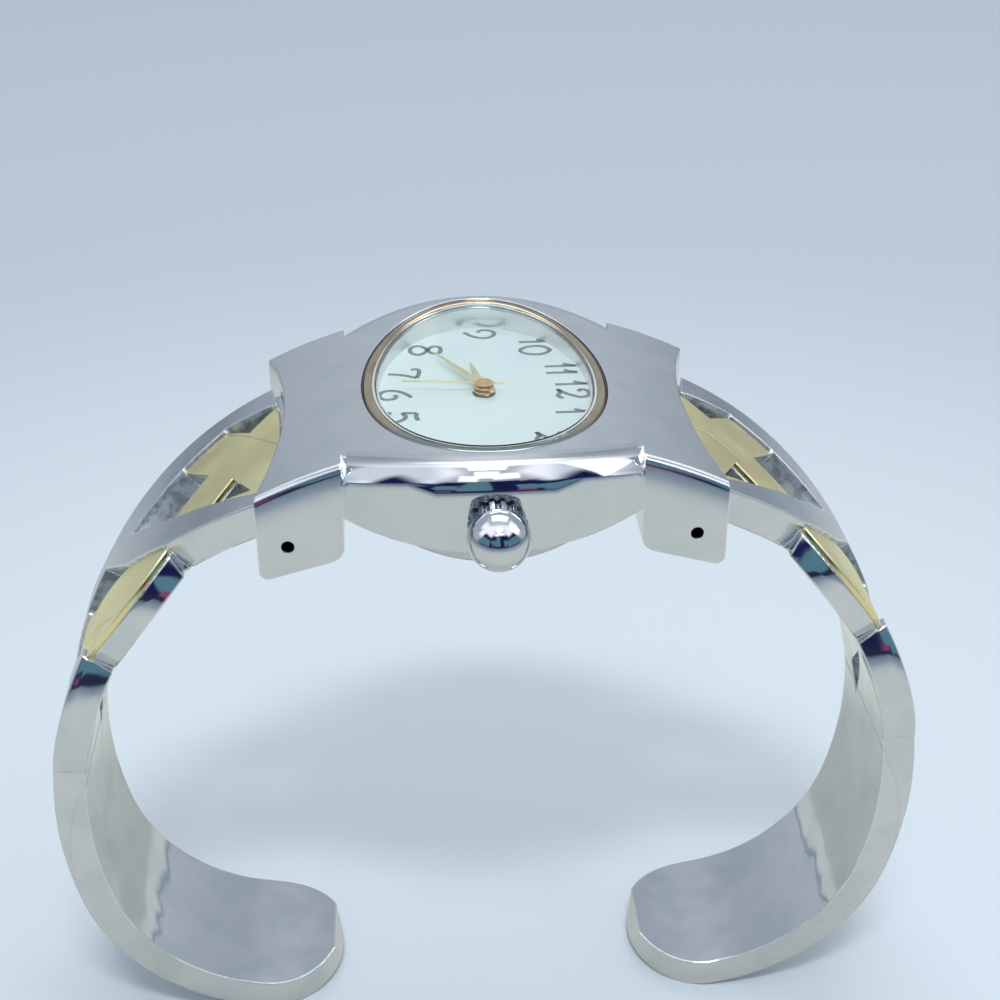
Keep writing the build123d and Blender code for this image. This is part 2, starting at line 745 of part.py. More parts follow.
def patch(shares, waist, middle, top, depth):
    # A prism through the band whose outline is a table of shares about one waist
    points = [(along(waist + turn, waist + middle), share * weave_reach) for turn, share in shares]
    plane = touch_plane(waist + middle).offset(top)
    return extrude(plane * Polygon(*points, align=None), depth, dir=-plane.z_dir)


def edge_cutter(start, end, y0, swell, y1):
    # What lies outside one swelling stretch of the band's edge, from waist to waist
    middle = (start + end) / 2
    a, b = along(start, middle), along(end, middle)
    outer = 2 * weave_reach if swell > 0 else -2 * weave_reach
    rim = ThreePointArc((a, y0), ((a + b) / 2, swell), (b, y1))
    border = Polyline((b, y1), (b, outer), (a, outer), (a, y0))
    plane = touch_plane(middle).offset(band_thickness)
    return extrude(plane * make_face(Curve() + [rim, border]), 3 * band_thickness, dir=-plane.z_dir)


def band_outline():
    start = degrees(asin(belly_half_length / band_radius))
    waists = [waist_turn + number * weave_pitch for number in range(3)]
    ends = [start] + waists
    near = [near_lug_share] + list(near_waist_shares)
    cutters = []
    for number, swell in enumerate(near_swell_shares):
        cutters.append(edge_cutter(ends[number], ends[number + 1], -near[number] * weave_reach, -swell * weave_reach,
                                   -near[number + 1] * weave_reach))
    far_ends = (start, waists[1], waists[2])
    edges = [far_lug_share] + list(far_waist_shares)
    for number, swell in enumerate(far_swell_shares):
        cutters.append(edge_cutter(far_ends[number], far_ends[number + 1], edges[number] * weave_reach,
                                   swell * weave_reach, edges[number + 1] * weave_reach))
    return cutters


def end_space():
    # The lug as the arm meets it, at rest and fully open, grown by the hinge gap
    lug = block(0, case_half_length + hinge_gap, -2 * weave_reach, 2 * weave_reach, ear_bottom_outer - overrun,
                2 * top_radius)
    lug -= Pos(hollow_x + hinge_gap, 0, 0) * Cylinder(hollow_radius, 2 * far)
    turned = Pos(pin_x, 0, pin_height) * Rot(0, open_turn, 0) * Pos(-pin_x, 0, -pin_height) * lug
    upper = block(0, far, -far, far, pin_height, far)
    return lug + (turned & upper)


def make_tip_plan():
    # Seen from below: full width, then a half round at the tip
    long_side = block(tip_reach + tip_half_width, far, -tip_half_width, tip_half_width, -far, corner_z)
    return long_side + disc(tip_half_width, -far, corner_z, tip_reach + tip_half_width, 0)


def weave_cells():
    # Openings and gold regions, as (tables, waist, middle) for each cell of the weave
    second, third = waist_turn + weave_pitch, waist_turn + 2 * weave_pitch
    windows = [(sliver_shares, waist_turn, -11.0), (far_window_shares, waist_turn, 1.0),
               (near_window_shares, waist_turn, -10.0), (edge_window_shares, second, -3.0),
               (tail_window_shares, third, -3.0)]
    golds = [(plate_shares, waist_turn, -4.0), (strand_shares, second, -9.5), (tail_shares, third, -10.0)]
    return windows, golds


def make_arm():
    start = degrees(asin(belly_half_length / band_radius))
    band = across(band_profile(0, band_thickness, start), weave_reach)
    blank = band
    for cutter in band_outline():
        band -= cutter
    last_waist = radians(waist_turn + 2 * weave_pitch)
    low = bend_z + band_radius * cos(last_waist)
    band = (band & block(0, far, -far, far, low, far)) + (band & make_lower_strip(low)) + (band & make_tip_plan())
    ends = end_space()
    outline = band
    band -= ends
    windows, golds = weave_cells()
    tongue_half = case_half_width - ear_thickness - tongue_side_gap
    tongue = (blank & drum(tongue_radius, pin_x, pin_height, tongue_half)) + drum(knuckle_radius, pin_x, pin_height,
                                                                                 tongue_half)
    coil_outer = spring_radius + spring_wire / 2 + spring_pocket_gap
    coil_half = spring_turns * spring_pitch / 2 + spring_wire
    pocket = drum(coil_outer, pin_x, pin_height, coil_half)
    pocket += block(pin_x - 2 * knuckle_radius, pin_x + coil_outer / 2, -coil_half, coil_half, pin_height - coil_outer,
                    pin_height + 2 * knuckle_radius)
    pocket += spring_leg(0, spring_leg_front + fit_gap, 1, spring_wire / 2 + fit_gap)
    arm = (band + tongue) - pocket
    gold = None
    for shares, waist, middle in golds:
        prism = patch(shares, waist, middle, overrun, 3 * band_thickness)
        gold = prism if gold is None else gold + prism
    gold &= outline
    gold -= ends
    shell = across(band_profile(inlay_sink, inlay_thickness, start), weave_reach)
    recess = across(band_profile(-overrun, overrun + inlay_sink + inlay_thickness + inlay_gap, start), weave_reach)
    arm -= gold & recess
    gold &= shell
    for shares, waist, middle in windows:
        hole = patch(shares, waist, middle, overrun, 2 * band_thickness + overrun)
        arm -= hole
        gold -= hole
    arm -= drum(pin_radius + pin_clearance, pin_x, pin_height)
    return arm, gold


def make_lower_strip(top):
    return block(0, far, -tip_half_width, tip_half_width, corner_z, top)


def make_hinge_pins():
    length = case_half_width - pin_end_sink
    pins = [tube_along_y(pin_radius, -length, length, x=x, z=pin_height) for x in (-pin_x, pin_x)]
    return Compound(children=pins)


def spring_leg(start, end, sign, radius):
    # A straight stretch of wire along the coil's tangent; sign picks the coil's end
    tilt = radians(spring_tilt)
    foot = (pin_x + spring_radius * sin(tilt), sign * spring_turns * spring_pitch / 2,
            pin_height + spring_radius * cos(tilt))
    way = Vector(sign * cos(tilt), 0, -sign * sin(tilt))
    return Plane(origin=Vector(*foot) + way * start, z_dir=way) * extrude(Circle(radius), end - start)


def make_spring():
    height = spring_turns * spring_pitch
    path = Helix(spring_pitch, height, spring_radius)
    section = Plane(origin=path @ 0, z_dir=path % 0) * RegularPolygon(spring_wire / 2, wire_sides)
    wire = sweep(section, path=Wire([path]), is_frenet=True)
    coil = Pos(pin_x, height / 2, pin_height) * Rot(0, spring_tilt - 90, 0) * Rot(90, 0, 0) * wire
    return coil + spring_leg(0, spring_leg_front, 1, spring_wire / 2) + spring_leg(0, spring_leg_back, -1,
                                                                                   spring_wire / 2)


def save(shape, name):
    shape.label = name
    export_step(shape, f"parts/{name}.step")


def main():
    os.makedirs("parts", exist_ok=True)
    makers = {
        "case": make_case, "case_back": make_case_back, "back_gasket": make_back_gasket, "crystal_rim": make_rim,
        "crystal_gasket": make_glass_gasket, "crystal": make_glass, "reflector_ring": make_reflector,
        "dial": make_dial, "hour_hand": make_hour_hand, "minute_hand": make_minute_hand,
        "second_hand": make_second_hand, "main_plate": make_main_plate, "train_bridge": make_train_bridge,
        "movement_holder": make_holder, "movement_screws": make_screws, "fourth_wheel": make_fourth_wheel,
        "third_wheel": make_third_wheel, "centre_wheel": make_centre_wheel, "minute_wheel": make_minute_wheel,
        "hour_wheel": make_hour_wheel, "fifth_wheel": make_fifth_wheel, "rotor": make_rotor,
        "stator": make_stator, "coil": make_coil, "circuit_board": make_circuit_board, "circuit_chip": make_chip,
        "quartz_can": make_quartz_can, "battery": make_battery, "battery_clamp": make_battery_clamp,
        "crown_tube": make_crown_tube, "stem": make_stem, "crown": make_crown, "crown_gasket": make_crown_gasket,
        "clutch_wheel": make_clutch_wheel, "setting_lever": make_setting_lever, "hinge_pins": make_hinge_pins,
    }
    for name, maker in makers.items():
        save(maker(), name)
    arm, gold = make_arm()
    spring = make_spring()
    for side_name, shape in (("arm", arm), ("gold_inlay", gold), ("hinge_spring", spring)):
        save(shape, f"{side_name}_12")
        save(mirror(shape, about=Plane.YZ), f"{side_name}_6")


main()
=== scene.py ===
import json
from math import cos, pi, radians, sin, sqrt

import bpy
from mathutils import Matrix, Vector

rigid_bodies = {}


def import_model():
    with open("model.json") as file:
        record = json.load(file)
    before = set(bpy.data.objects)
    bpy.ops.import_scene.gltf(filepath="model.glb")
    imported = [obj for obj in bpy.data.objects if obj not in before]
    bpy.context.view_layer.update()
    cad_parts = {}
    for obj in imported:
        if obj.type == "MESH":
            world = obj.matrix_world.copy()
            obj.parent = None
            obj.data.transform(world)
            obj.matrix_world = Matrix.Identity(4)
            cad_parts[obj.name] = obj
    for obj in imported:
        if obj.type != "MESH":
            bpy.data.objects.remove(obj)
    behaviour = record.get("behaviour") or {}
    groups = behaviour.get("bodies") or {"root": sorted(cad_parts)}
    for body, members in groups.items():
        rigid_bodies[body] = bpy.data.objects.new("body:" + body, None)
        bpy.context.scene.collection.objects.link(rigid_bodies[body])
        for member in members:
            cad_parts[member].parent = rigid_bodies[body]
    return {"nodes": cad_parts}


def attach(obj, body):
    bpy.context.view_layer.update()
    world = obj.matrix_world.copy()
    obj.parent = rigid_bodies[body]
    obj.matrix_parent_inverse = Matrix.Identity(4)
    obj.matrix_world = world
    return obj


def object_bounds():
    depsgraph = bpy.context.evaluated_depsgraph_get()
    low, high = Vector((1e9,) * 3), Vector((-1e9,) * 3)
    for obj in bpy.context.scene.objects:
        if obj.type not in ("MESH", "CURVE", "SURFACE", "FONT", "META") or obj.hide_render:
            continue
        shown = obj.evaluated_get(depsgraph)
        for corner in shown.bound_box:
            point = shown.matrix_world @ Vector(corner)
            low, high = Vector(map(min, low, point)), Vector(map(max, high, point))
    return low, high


for leftover in list(bpy.data.objects):     # the start-up cube, lamp and camera
    bpy.data.objects.remove(leftover)
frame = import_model()
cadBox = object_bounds()
mm = 0.001
scene = bpy.context.scene
scene.view_settings.view_transform = "Standard"
print("frame loaded:", len(frame["nodes"]), "nodes")


def seen(red, green, blue):
    # a colour as a picture editor shows it, 0 to 255, as Blender's linear colour
    shares = (channel / 255 for channel in (red, green, blue))
    return (*(share / 12.92 if share < 0.0405 else ((share + 0.055) / 1.055) ** 2.4 for share in shares), 1.0)


class Bench:
    # lays out nodes in one tree
    def __init__(self, tree):
        self.tree = tree

    def feed(self, socket, value):
        if isinstance(value, bpy.types.NodeSocket):
            self.tree.links.new(value, socket)
        else:
            socket.default_value = value

    def put(self, kind, inputs=None, **settings):
        made = self.tree.nodes.new(kind)
        for name, value in settings.items():
            setattr(made, name, value)
        for name, value in (inputs or {}).items():
            self.feed(made.inputs[name], value)
        return made

    def math(self, operation, *values, clamp=False):
        made = self.put("ShaderNodeMath", operation=operation, use_clamp=clamp)
        for socket, value in zip(made.inputs, values):
            self.feed(socket, value)
        return made.outputs[0]

    def product(self, first, *others):
        for other in others:
            first = self.math("MULTIPLY", first, other)
        return first

    def hypot(self, across, along):
        squares = [self.math("MULTIPLY", value, value) for value in (across, along)]
        return self.math("SQRT", self.math("ADD", *squares))

    def opposite(self, share):
        return self.math("SUBTRACT", 1.0, share)

    def vector(self, operation, *values):
        made = self.put("ShaderNodeVectorMath", operation=operation)
        for socket, value in zip(made.inputs, values):
            self.feed(socket, value)
        return made.outputs["Value" if operation in ("DISTANCE", "DOT_PRODUCT") else "Vector"]

    def blend(self, factor, low, high):
        made = self.put("ShaderNodeMix", data_type="RGBA")
        for index, value in ((0, factor), (6, low), (7, high)):
            self.feed(made.inputs[index], value)
        return made.outputs[2]

    def spread(self, value, fromLow, fromHigh, toLow=0.0, toHigh=1.0, smooth=True):
        limits = {"From Min": fromLow, "From Max": fromHigh, "To Min": toLow, "To Max": toHigh}
        made = self.put("ShaderNodeMapRange", {"Value": value, **limits},
                        interpolation_type="SMOOTHSTEP" if smooth else "LINEAR")
        return made.outputs["Result"]

    def swing(self, share, low, high):
        return self.spread(share, 0.0, 1.0, low, high, smooth=False)

    def parts(self, vector):
        return self.put("ShaderNodeSeparateXYZ", {"Vector": vector}).outputs

    def noise(self, vector, scale, detail=2.0, roughness=0.5):
        return self.put("ShaderNodeTexNoise", {"Vector": vector, "Scale": scale, "Detail": detail,
                                               "Roughness": roughness}).outputs["Fac"]

    def group(self, tree, **inputs):
        made = self.put("ShaderNodeGroup", node_tree=tree)
        for name, value in inputs.items():
            self.feed(made.inputs[name], value)
        return made.outputs


def shaderGroup(name, inputs, outputs):
    # inputs: name -> (socket type, default); outputs: name -> socket type
    tree = bpy.data.node_groups.new(name, "ShaderNodeTree")
    for socketName, (kind, value) in inputs.items():
        socket = tree.interface.new_socket(socketName, in_out="INPUT", socket_type="NodeSocket" + kind)
        socket.default_value = value
    for socketName, kind in outputs.items():
        tree.interface.new_socket(socketName, in_out="OUTPUT", socket_type="NodeSocket" + kind)
    return tree, Bench(tree), tree.nodes.new("NodeGroupInput").outputs, tree.nodes.new("NodeGroupOutput").inputs


def newMaterial(name):
    material = bpy.data.materials.new(name)
    material.use_nodes = True
    return material, Bench(material.node_tree), material.node_tree.nodes["Principled BSDF"]


# camera, at the photograph's place and turn

camera = {"place": (-6.23, -106.04, 59.4), "yaw": 3.96, "pitch": 30.3, "roll": 0.08, "lens": 61.6, "sensor": 36.0,
          "clip": (0.005, 20.0)}


def makeCamera():
    yaw, pitch, roll = (radians(camera[key]) for key in ("yaw", "pitch", "roll"))
    ahead = Vector((sin(yaw) * cos(pitch), cos(yaw) * cos(pitch), -sin(pitch)))
    right = ahead.cross(Vector((0, 0, 1))).normalized()
    up = right.cross(ahead)
    right, up = right * cos(roll) + up * sin(roll), up * cos(roll) - right * sin(roll)
    data = bpy.data.cameras.new("photoCamera")
    data.sensor_width, data.lens = camera["sensor"], camera["lens"]
    data.clip_start, data.clip_end = camera["clip"]
    eye = bpy.data.objects.new("photoCamera", data)
    turn = Matrix((right, up, -ahead)).transposed().to_4x4()
    eye.matrix_world = Matrix.Translation(Vector(camera["place"]) * mm) @ turn
    scene.collection.objects.link(eye)
    scene.camera = eye


makeCamera()
print("camera placed")

# floor, lamps and the room that the polished metal mirrors

# the floor is paler near the watch, a painted pool of light; glossy rays see other colours, darker further out, a
# painted reflection
floor = {"near": seen(219, 231, 241), "far": seen(195, 206, 218), "paintedPoolFade": (0.05, 0.17),
         "mirrored": seen(217, 221, 216), "paintedReflectionFar": seen(160, 173, 186), "paintedReflectionFade": (0.1, 0.34),
         "radius": 2.5, "sides": 96, "roughness": 0.7, "sheen": 0.1}
lamps = {
    "overheadSoftbox": {"towards": (-0.02, -0.45, 0.89), "away": 0.55, "size": (0.16, 0.06), "watts": 1.0},
    "rearSoftbox": {"towards": (0.05, 0.4, 0.91), "away": 0.7, "size": (0.5, 0.3), "watts": 1.1},
    "sideSoftbox": {"towards": (0.75, -0.1, 0.65), "away": 0.7, "size": (0.3, 0.4), "watts": 0.5},
}
teal, soft = (0.12, 0.26, 0.33, 1.0), (1.3, 1.32, 1.4, 1.0)
room = {
    "backdrop": seen(192, 202, 215), "ambient": (0.86, 0.9, 0.94, 1.0), "ambientStrength": 0.58,
    "heights": ((0.0, (0.52, 0.57, 0.63, 1.0)), (0.3, (0.48, 0.53, 0.59, 1.0)), (0.62, (0.44, 0.49, 0.55, 1.0)),
                (1.0, (0.75, 0.79, 0.85, 1.0))),
    # each panel: bearing from the crown's side and height in degrees, half width and half height, soft edge, colour
    "panels": (
        ((0, 3), (80, 6), 2, (0.025, 0.03, 0.07, 1.0)),
        ((-8, 24), (9, 18), 1, teal),
        ((9, 24), (8, 18), 1, (0.012, 0.015, 0.08, 1.0)),
        ((21, 20), (8, 20), 2, (0.012, 0.015, 0.09, 1.0)),
        ((-30, 20), (12, 20), 2, (0.015, 0.018, 0.1, 1.0)),
        ((22, 17), (7, 8), 1, teal),
        ((19, 6), (5, 3), 1, (0.3, 0.08, 0.16, 1.0)),
        ((-24, 5), (4, 3), 1, (0.25, 0.08, 0.14, 1.0)),
        ((-25, 18), (6, 7), 1, teal),
        ((54, 14), (26, 12), 2, teal),
        ((-60, 14), (22, 12), 2, teal),
        ((54, 34), (26, 9), 2, (0.012, 0.015, 0.09, 1.0)),
        ((-60, 34), (22, 9), 2, (0.015, 0.018, 0.1, 1.0)),
        ((-16, 46), (5, 4), 1, (1.6, 1.6, 1.65, 1.0)),
        ((-3, 52), (6, 5), 1, (1.9, 1.9, 1.95, 1.0)),
        ((12, 49), (7, 4), 1, (1.7, 1.7, 1.75, 1.0)),
        ((72, 52), (28, 12), 5, soft),
        ((-72, 52), (28, 12), 5, soft),
        ((0, 76), (110, 9), 3, soft),
        ((-150, 4), (8, 6), 3, (0.04, 0.07, 0.1, 1.0)),
        ((150, 3), (8, 5), 3, (0.03, 0.03, 0.08, 1.0)),
    ),
}


def makeFloor():
    around = floor["sides"]
    turns = [2 * pi * k / around for k in range(around)]
    ring = [(floor["radius"] * cos(turn), floor["radius"] * sin(turn), cadBox[0][2]) for turn in turns]
    mesh = bpy.data.meshes.new("studioFloor")
    mesh.from_pydata(ring, [], [range(around)])
    disc = bpy.data.objects.new("studioFloor", mesh)
    scene.collection.objects.link(disc)
    material, bench, shader = newMaterial("studioFloor")
    x, y, z = bench.parts(bench.put("ShaderNodeTexCoord").outputs["Object"])
    away = bench.hypot(x, y)
    # painted pool of light: paler near the watch; painted reflection: what glossy rays see, darker further out
    paintedPoolColour = bench.blend(bench.spread(away, *floor["paintedPoolFade"]), floor["near"], floor["far"])
    paintedReflectionColour = bench.blend(bench.spread(away, *floor["paintedReflectionFade"]), floor["mirrored"], floor["paintedReflectionFar"])
    mirrored = bench.put("ShaderNodeLightPath").outputs["Is Glossy Ray"]
    bench.feed(shader.inputs["Base Color"], bench.blend(mirrored, paintedPoolColour, paintedReflectionColour))
    shader.inputs["Roughness"].default_value = floor["roughness"]
    shader.inputs["Specular IOR Level"].default_value = floor["sheen"]
    mesh.materials.append(material)


def makeLamps():
    for name, lamp in lamps.items():
        data = bpy.data.lights.new(name, "AREA")
        data.shape, data.size, data.size_y, data.energy = "RECTANGLE", *lamp["size"], lamp["watts"]
        towards = Vector(lamp["towards"]).normalized()
        turn = towards.to_track_quat("Z", "Y").to_matrix().to_4x4()
        light = bpy.data.objects.new(name, data)
        light.matrix_world = Matrix.Translation(towards * lamp["away"]) @ turn
        scene.collection.objects.link(light)


def makeRoom():
    world = bpy.data.worlds.new("studioRoom")
    scene.world = world
    world.use_nodes = True
    tree = world.node_tree
    bench = Bench(tree)
    way = bench.put("ShaderNodeTexCoord").outputs["Generated"]
    height = bench.parts(way)[2]
    ramp = bench.put("ShaderNodeValToRGB", {"Fac": height})
    stops = ramp.color_ramp.elements
    for index, (where, colour) in enumerate(room["heights"]):
        stop = stops[index] if index < 2 else stops.new(where)
        stop.position, stop.color = where, colour
    colour = ramp.outputs["Color"]
    for (bearing, rise), sizes, edge, tint in room["panels"]:
        bearing, rise = radians(bearing), radians(rise)
        centre = Vector((sin(bearing) * cos(rise), -cos(bearing) * cos(rise), sin(rise)))
        side = centre.cross(Vector((0, 0, 1))).normalized()
        top = side.cross(centre)
        across = bench.math("ABSOLUTE", bench.vector("DOT_PRODUCT", way, side))
        along = bench.math("ABSOLUTE", bench.vector("DOT_PRODUCT", way, top))
        front = bench.math("GREATER_THAN", bench.vector("DOT_PRODUCT", way, centre), 0.0)
        halfWidth, halfHeight, edge = (sin(radians(size)) for size in (*sizes, edge))
        mask = bench.math("MULTIPLY", bench.spread(across, halfWidth - edge, halfWidth + edge, 1.0, 0.0),
                          bench.spread(along, halfHeight - edge, halfHeight + edge, 1.0, 0.0))
        colour = bench.blend(bench.math("MULTIPLY", mask, front), colour, tint)
    path = bench.put("ShaderNodeLightPath").outputs
    back = tree.nodes["Background"]
    shown = bench.blend(path["Is Glossy Ray"], room["ambient"], colour)
    shown = bench.blend(path["Is Camera Ray"], shown, room["backdrop"])
    bench.feed(back.inputs["Color"], shown)
    plain = bench.math("MAXIMUM", path["Is Camera Ray"], path["Is Glossy Ray"])
    bench.feed(back.inputs["Strength"], bench.swing(plain, room["ambientStrength"], 1.0))


makeFloor()
makeLamps()
makeRoom()
print("studio ready")

# shared finishes, as shader node groups that work in millimetres

# the cuff's outline from the crown's side, in millimetres: the axis of its sides below the dial, the centre of its
# rounded corners and how much smaller their radius is, and how far below the outer radius its underside lies
outline = {"axisDrop": 25.8, "cornerAside": 15.84, "cornerDrop": 30.04, "cornerLess": 16.4, "underDrop": 13.64}


def makePlaceGroup():
    tree, bench, given, out = shaderGroup("placeInMillimetres", {}, {"Place": "Vector"})
    place = bench.put("ShaderNodeTexCoord").outputs["Object"]
    bench.feed(out["Place"], bench.vector("MULTIPLY", place, (1000, 1000, 1000)))
    return tree


def cuffReach(bench, x, z):
    # distance from the cuff's axis, and height above it
    rise = bench.math("ADD", z, outline["axisDrop"])
    return bench.hypot(x, rise), rise


def makeOuterFaceGroup():
    # 1 on the satin outer curve of case or arms, 0 on the polished sides
    tree, bench, given, out = shaderGroup(
        "outerFace", {"Curve Radius": ("Float", 32.4), "Tolerance": ("Float", 0.09)}, {"Mask": "Float"})
    x, y, z = bench.parts(bench.group(placeGroup)["Place"])

    def offCurve(sideways, drop, radius):
        reach = bench.hypot(sideways, bench.math("ADD", z, drop))
        return bench.math("ABSOLUTE", bench.math("SUBTRACT", reach, radius))

    radius = given["Curve Radius"]
    side = offCurve(x, outline["axisDrop"], radius)
    pastCorner = bench.math("SUBTRACT", bench.math("ABSOLUTE", x), outline["cornerAside"])
    corner = offCurve(pastCorner, outline["cornerDrop"], bench.math("SUBTRACT", radius, outline["cornerLess"]))
    under = bench.math("ABSOLUTE", bench.math("ADD", z, bench.math("ADD", radius, outline["underDrop"])))
    nearest = bench.math("MINIMUM", side, bench.math("MINIMUM", corner, under))
    bench.feed(out["Mask"], bench.math("LESS_THAN", nearest, given["Tolerance"]))
    return tree


def makeDriftGroup():
    # slow change of tint over plating, paint or plastic
    tree, bench, given, out = shaderGroup(
        "tintDrift", {"Tint": ("Color", (0.5, 0.5, 0.5, 1)), "Drift": ("Color", (0.5, 0.5, 0.5, 1)),
                      "Scale": ("Float", 0.3), "Share": ("Float", 0.6)}, {"Color": "Color"})
    cloud = bench.noise(bench.group(placeGroup)["Place"], given["Scale"], 2.0)
    share = bench.math("MULTIPLY", bench.spread(cloud, 0.4, 0.68), given["Share"])
    bench.feed(out["Color"], bench.blend(share, given["Tint"], given["Drift"]))
    return tree


def makeWearGroup():
    # brushed grain and finger smears: a roughness and a height
    tree, bench, given, out = shaderGroup(
        "surfaceWear", {"Gloss": ("Float", 0.1), "Smear": ("Float", 0.05), "Grain": ("Float", 12.0),
                        "Stretch": ("Float", 6.0)}, {"Roughness": "Float", "Height": "Float"})
    place = bench.group(placeGroup)["Place"]
    x, y, z = bench.parts(place)
    lengthwise = bench.math("DIVIDE", y, given["Stretch"])
    drawn = bench.put("ShaderNodeCombineXYZ", {"X": x, "Y": lengthwise, "Z": z}).outputs[0]
    grain = bench.noise(drawn, given["Grain"], 3.0, 0.6)
    smear = bench.spread(bench.noise(place, 0.45, 4.0, 0.6), 0.35, 0.75)
    rough = bench.math("ADD", given["Gloss"], bench.math("MULTIPLY", smear, given["Smear"]))
    bench.feed(out["Roughness"], bench.math("ADD", rough, bench.product(given["Smear"], 0.5, grain)))
    bench.feed(out["Height"], grain)
    return tree


def makeEdgeGroup():
    # rounds sharp edges in the shading and marks them
    tree, bench, given, out = shaderGroup(
        "softEdge", {"Width": ("Float", 0.12)}, {"Normal": "Vector", "Mask": "Float"})
    bevel = bench.put("ShaderNodeBevel", {"Radius": bench.math("MULTIPLY", given["Width"], mm)}, samples=6)
    flat = bench.put("ShaderNodeNewGeometry").outputs["Normal"]
    alike = bench.vector("DOT_PRODUCT", bevel.outputs[0], flat)
    bench.feed(out["Normal"], bevel.outputs[0])
    bench.feed(out["Mask"], bench.spread(alike, 0.995, 0.85))
    return tree


pillow = {
    "taper": (9.8, 16.0, 1.0, 0.4),      # two distances aside, and the sharp swell's share at each
    "broadDepth": 3.2, "waists": ((43.5, 1.0), (62.5, 0.3)),      # degrees from the dial axis, and share of the fold
    "foldTurn": (-0.6, 11.5), "foldDepth": 2.9,      # degrees from the waist, between which the fold runs out
}


def makePillowGroup():
    # polished sides swell below the curved top, sharply and then slowly, and lean out where a strand folds under
    tree, bench, given, out = shaderGroup(
        "pillowedSide", {"Curve Radius": ("Float", 33.6), "Reach": ("Float", 1.3), "Tilt": ("Float", 0.5),
                         "Broad": ("Float", 0.2), "Fold": ("Float", 0.0), "Ripple": ("Float", 0.03)},
        {"Height": "Float"})
    place = bench.group(placeGroup)["Place"]
    x, y, z = bench.parts(place)
    aside = bench.math("ABSOLUTE", x)
    reach, rise = cuffReach(bench, x, z)
    below = bench.math("SUBTRACT", given["Curve Radius"], reach)

    def swell(depth, tilt):
        short = bench.math("MAXIMUM", bench.math("SUBTRACT", depth, below), 0.0)
        fall = bench.math("DIVIDE", bench.math("MULTIPLY", short, short), bench.math("MULTIPLY", depth, -2.0))
        return bench.math("MULTIPLY", fall, tilt)

    taper = bench.spread(aside, *pillow["taper"], smooth=False)
    sharp = bench.math("MULTIPLY", swell(given["Reach"], given["Tilt"]), taper)
    height = bench.math("ADD", sharp, swell(pillow["broadDepth"], given["Broad"]))
    turn = bench.math("MULTIPLY", bench.math("ARCTAN2", aside, rise), 180 / pi)
    for waist, share in pillow["waists"]:
        start, stop = (waist + degrees for degrees in pillow["foldTurn"])
        depth = bench.spread(turn, start, stop, pillow["foldDepth"], 0.0, smooth=False)
        depth = bench.math("MULTIPLY", depth, bench.math("GREATER_THAN", turn, start))
        lean = bench.math("MAXIMUM", bench.math("SUBTRACT", depth, below), 0.0)
        height = bench.math("SUBTRACT", height, bench.product(given["Fold"], share, lean))
    ripple = bench.math("MULTIPLY", bench.noise(place, 0.3, 1.0), given["Ripple"])
    bench.feed(out["Height"], bench.math("ADD", height, ripple))
    return tree


roll = {
    "arcShift": 3.0, "arcStart": 15.0, "arcEnd": 16.7,      # the middle's outline is an arc of radius 16.6 mm
    "steps": ((0.0, 0.9, 8), (0.9, 1.35, 34), (1.35, 2.75, 12)),      # from, to, and degrees turned between them
    "knee": 2.75, "kneeTurn": 22, "kneeWidth": (3.8, 5.6, 0.85, 0.1),      # narrower away from the crown
    "tail": 0.5, "tailTurn": 14,
    "aside": (9.3, 9.6, 1.0, 0.0), "fadeIn": (0.0, 0.1), "fadeOut": (4.6, 4.8, 1.0, 0.0),
    "polish": (1.25, 1.5), "facet": (2.4, 2.75, 1.0, 0.0),
}


def makeRollGroup():
    # over the rounded middle of the case the satin top rolls softly down to the polished side
    tree, bench, given, out = shaderGroup(
        "bellyRoll", {"Curve Radius": ("Float", 33.6)},
        {"Normal": "Vector", "Mask": "Float", "Polish": "Float", "Facet": "Float"})
    x, y, z = bench.parts(bench.group(placeGroup)["Place"])
    aside = bench.math("ABSOLUTE", x)
    reach, rise = cuffReach(bench, x, z)
    north = bench.math("ADD", y, bench.math("MULTIPLY", bench.math("SIGN", y), roll["arcShift"]))
    arc = bench.hypot(x, north)
    past = bench.math("SUBTRACT", arc, roll["arcStart"])
    along = bench.math("ADD", past, bench.math("SUBTRACT", given["Curve Radius"], reach))
    end = bench.math("ADD", bench.spread(aside, *roll["kneeWidth"], smooth=False), roll["knee"])
    tail = bench.math("ADD", end, roll["tail"])
    turn = 0.0
    lastSteps = (roll["knee"], end, roll["kneeTurn"]), (end, tail, roll["tailTurn"])
    for start, stop, angle in (*roll["steps"], *lastSteps):
        turn = bench.math("ADD", turn, bench.spread(along, start, stop, 0.0, radians(angle), smooth=False))
    upward = bench.math("DIVIDE", bench.math("COSINE", turn), reach)
    outward = bench.math("DIVIDE", bench.math("SINE", turn), arc)
    normal = bench.put("ShaderNodeCombineXYZ", {
        "X": bench.math("MULTIPLY", bench.math("ADD", upward, outward), x),
        "Y": bench.math("MULTIPLY", outward, north), "Z": bench.math("MULTIPLY", upward, rise)})
    turned = bench.put("ShaderNodeVectorTransform", {"Vector": normal.outputs[0]}, vector_type="NORMAL",
                       convert_from="OBJECT", convert_to="WORLD")
    bench.feed(out["Normal"], turned.outputs[0])
    bench.feed(out["Mask"], bench.product(
        bench.spread(aside, *roll["aside"]), bench.math("LESS_THAN", arc, roll["arcEnd"]),
        bench.spread(along, *roll["fadeIn"]), bench.spread(along, *roll["fadeOut"])))
    bench.feed(out["Polish"], bench.spread(along, *roll["polish"]))
    bench.feed(out["Facet"], bench.spread(along, *roll["facet"]))
    return tree


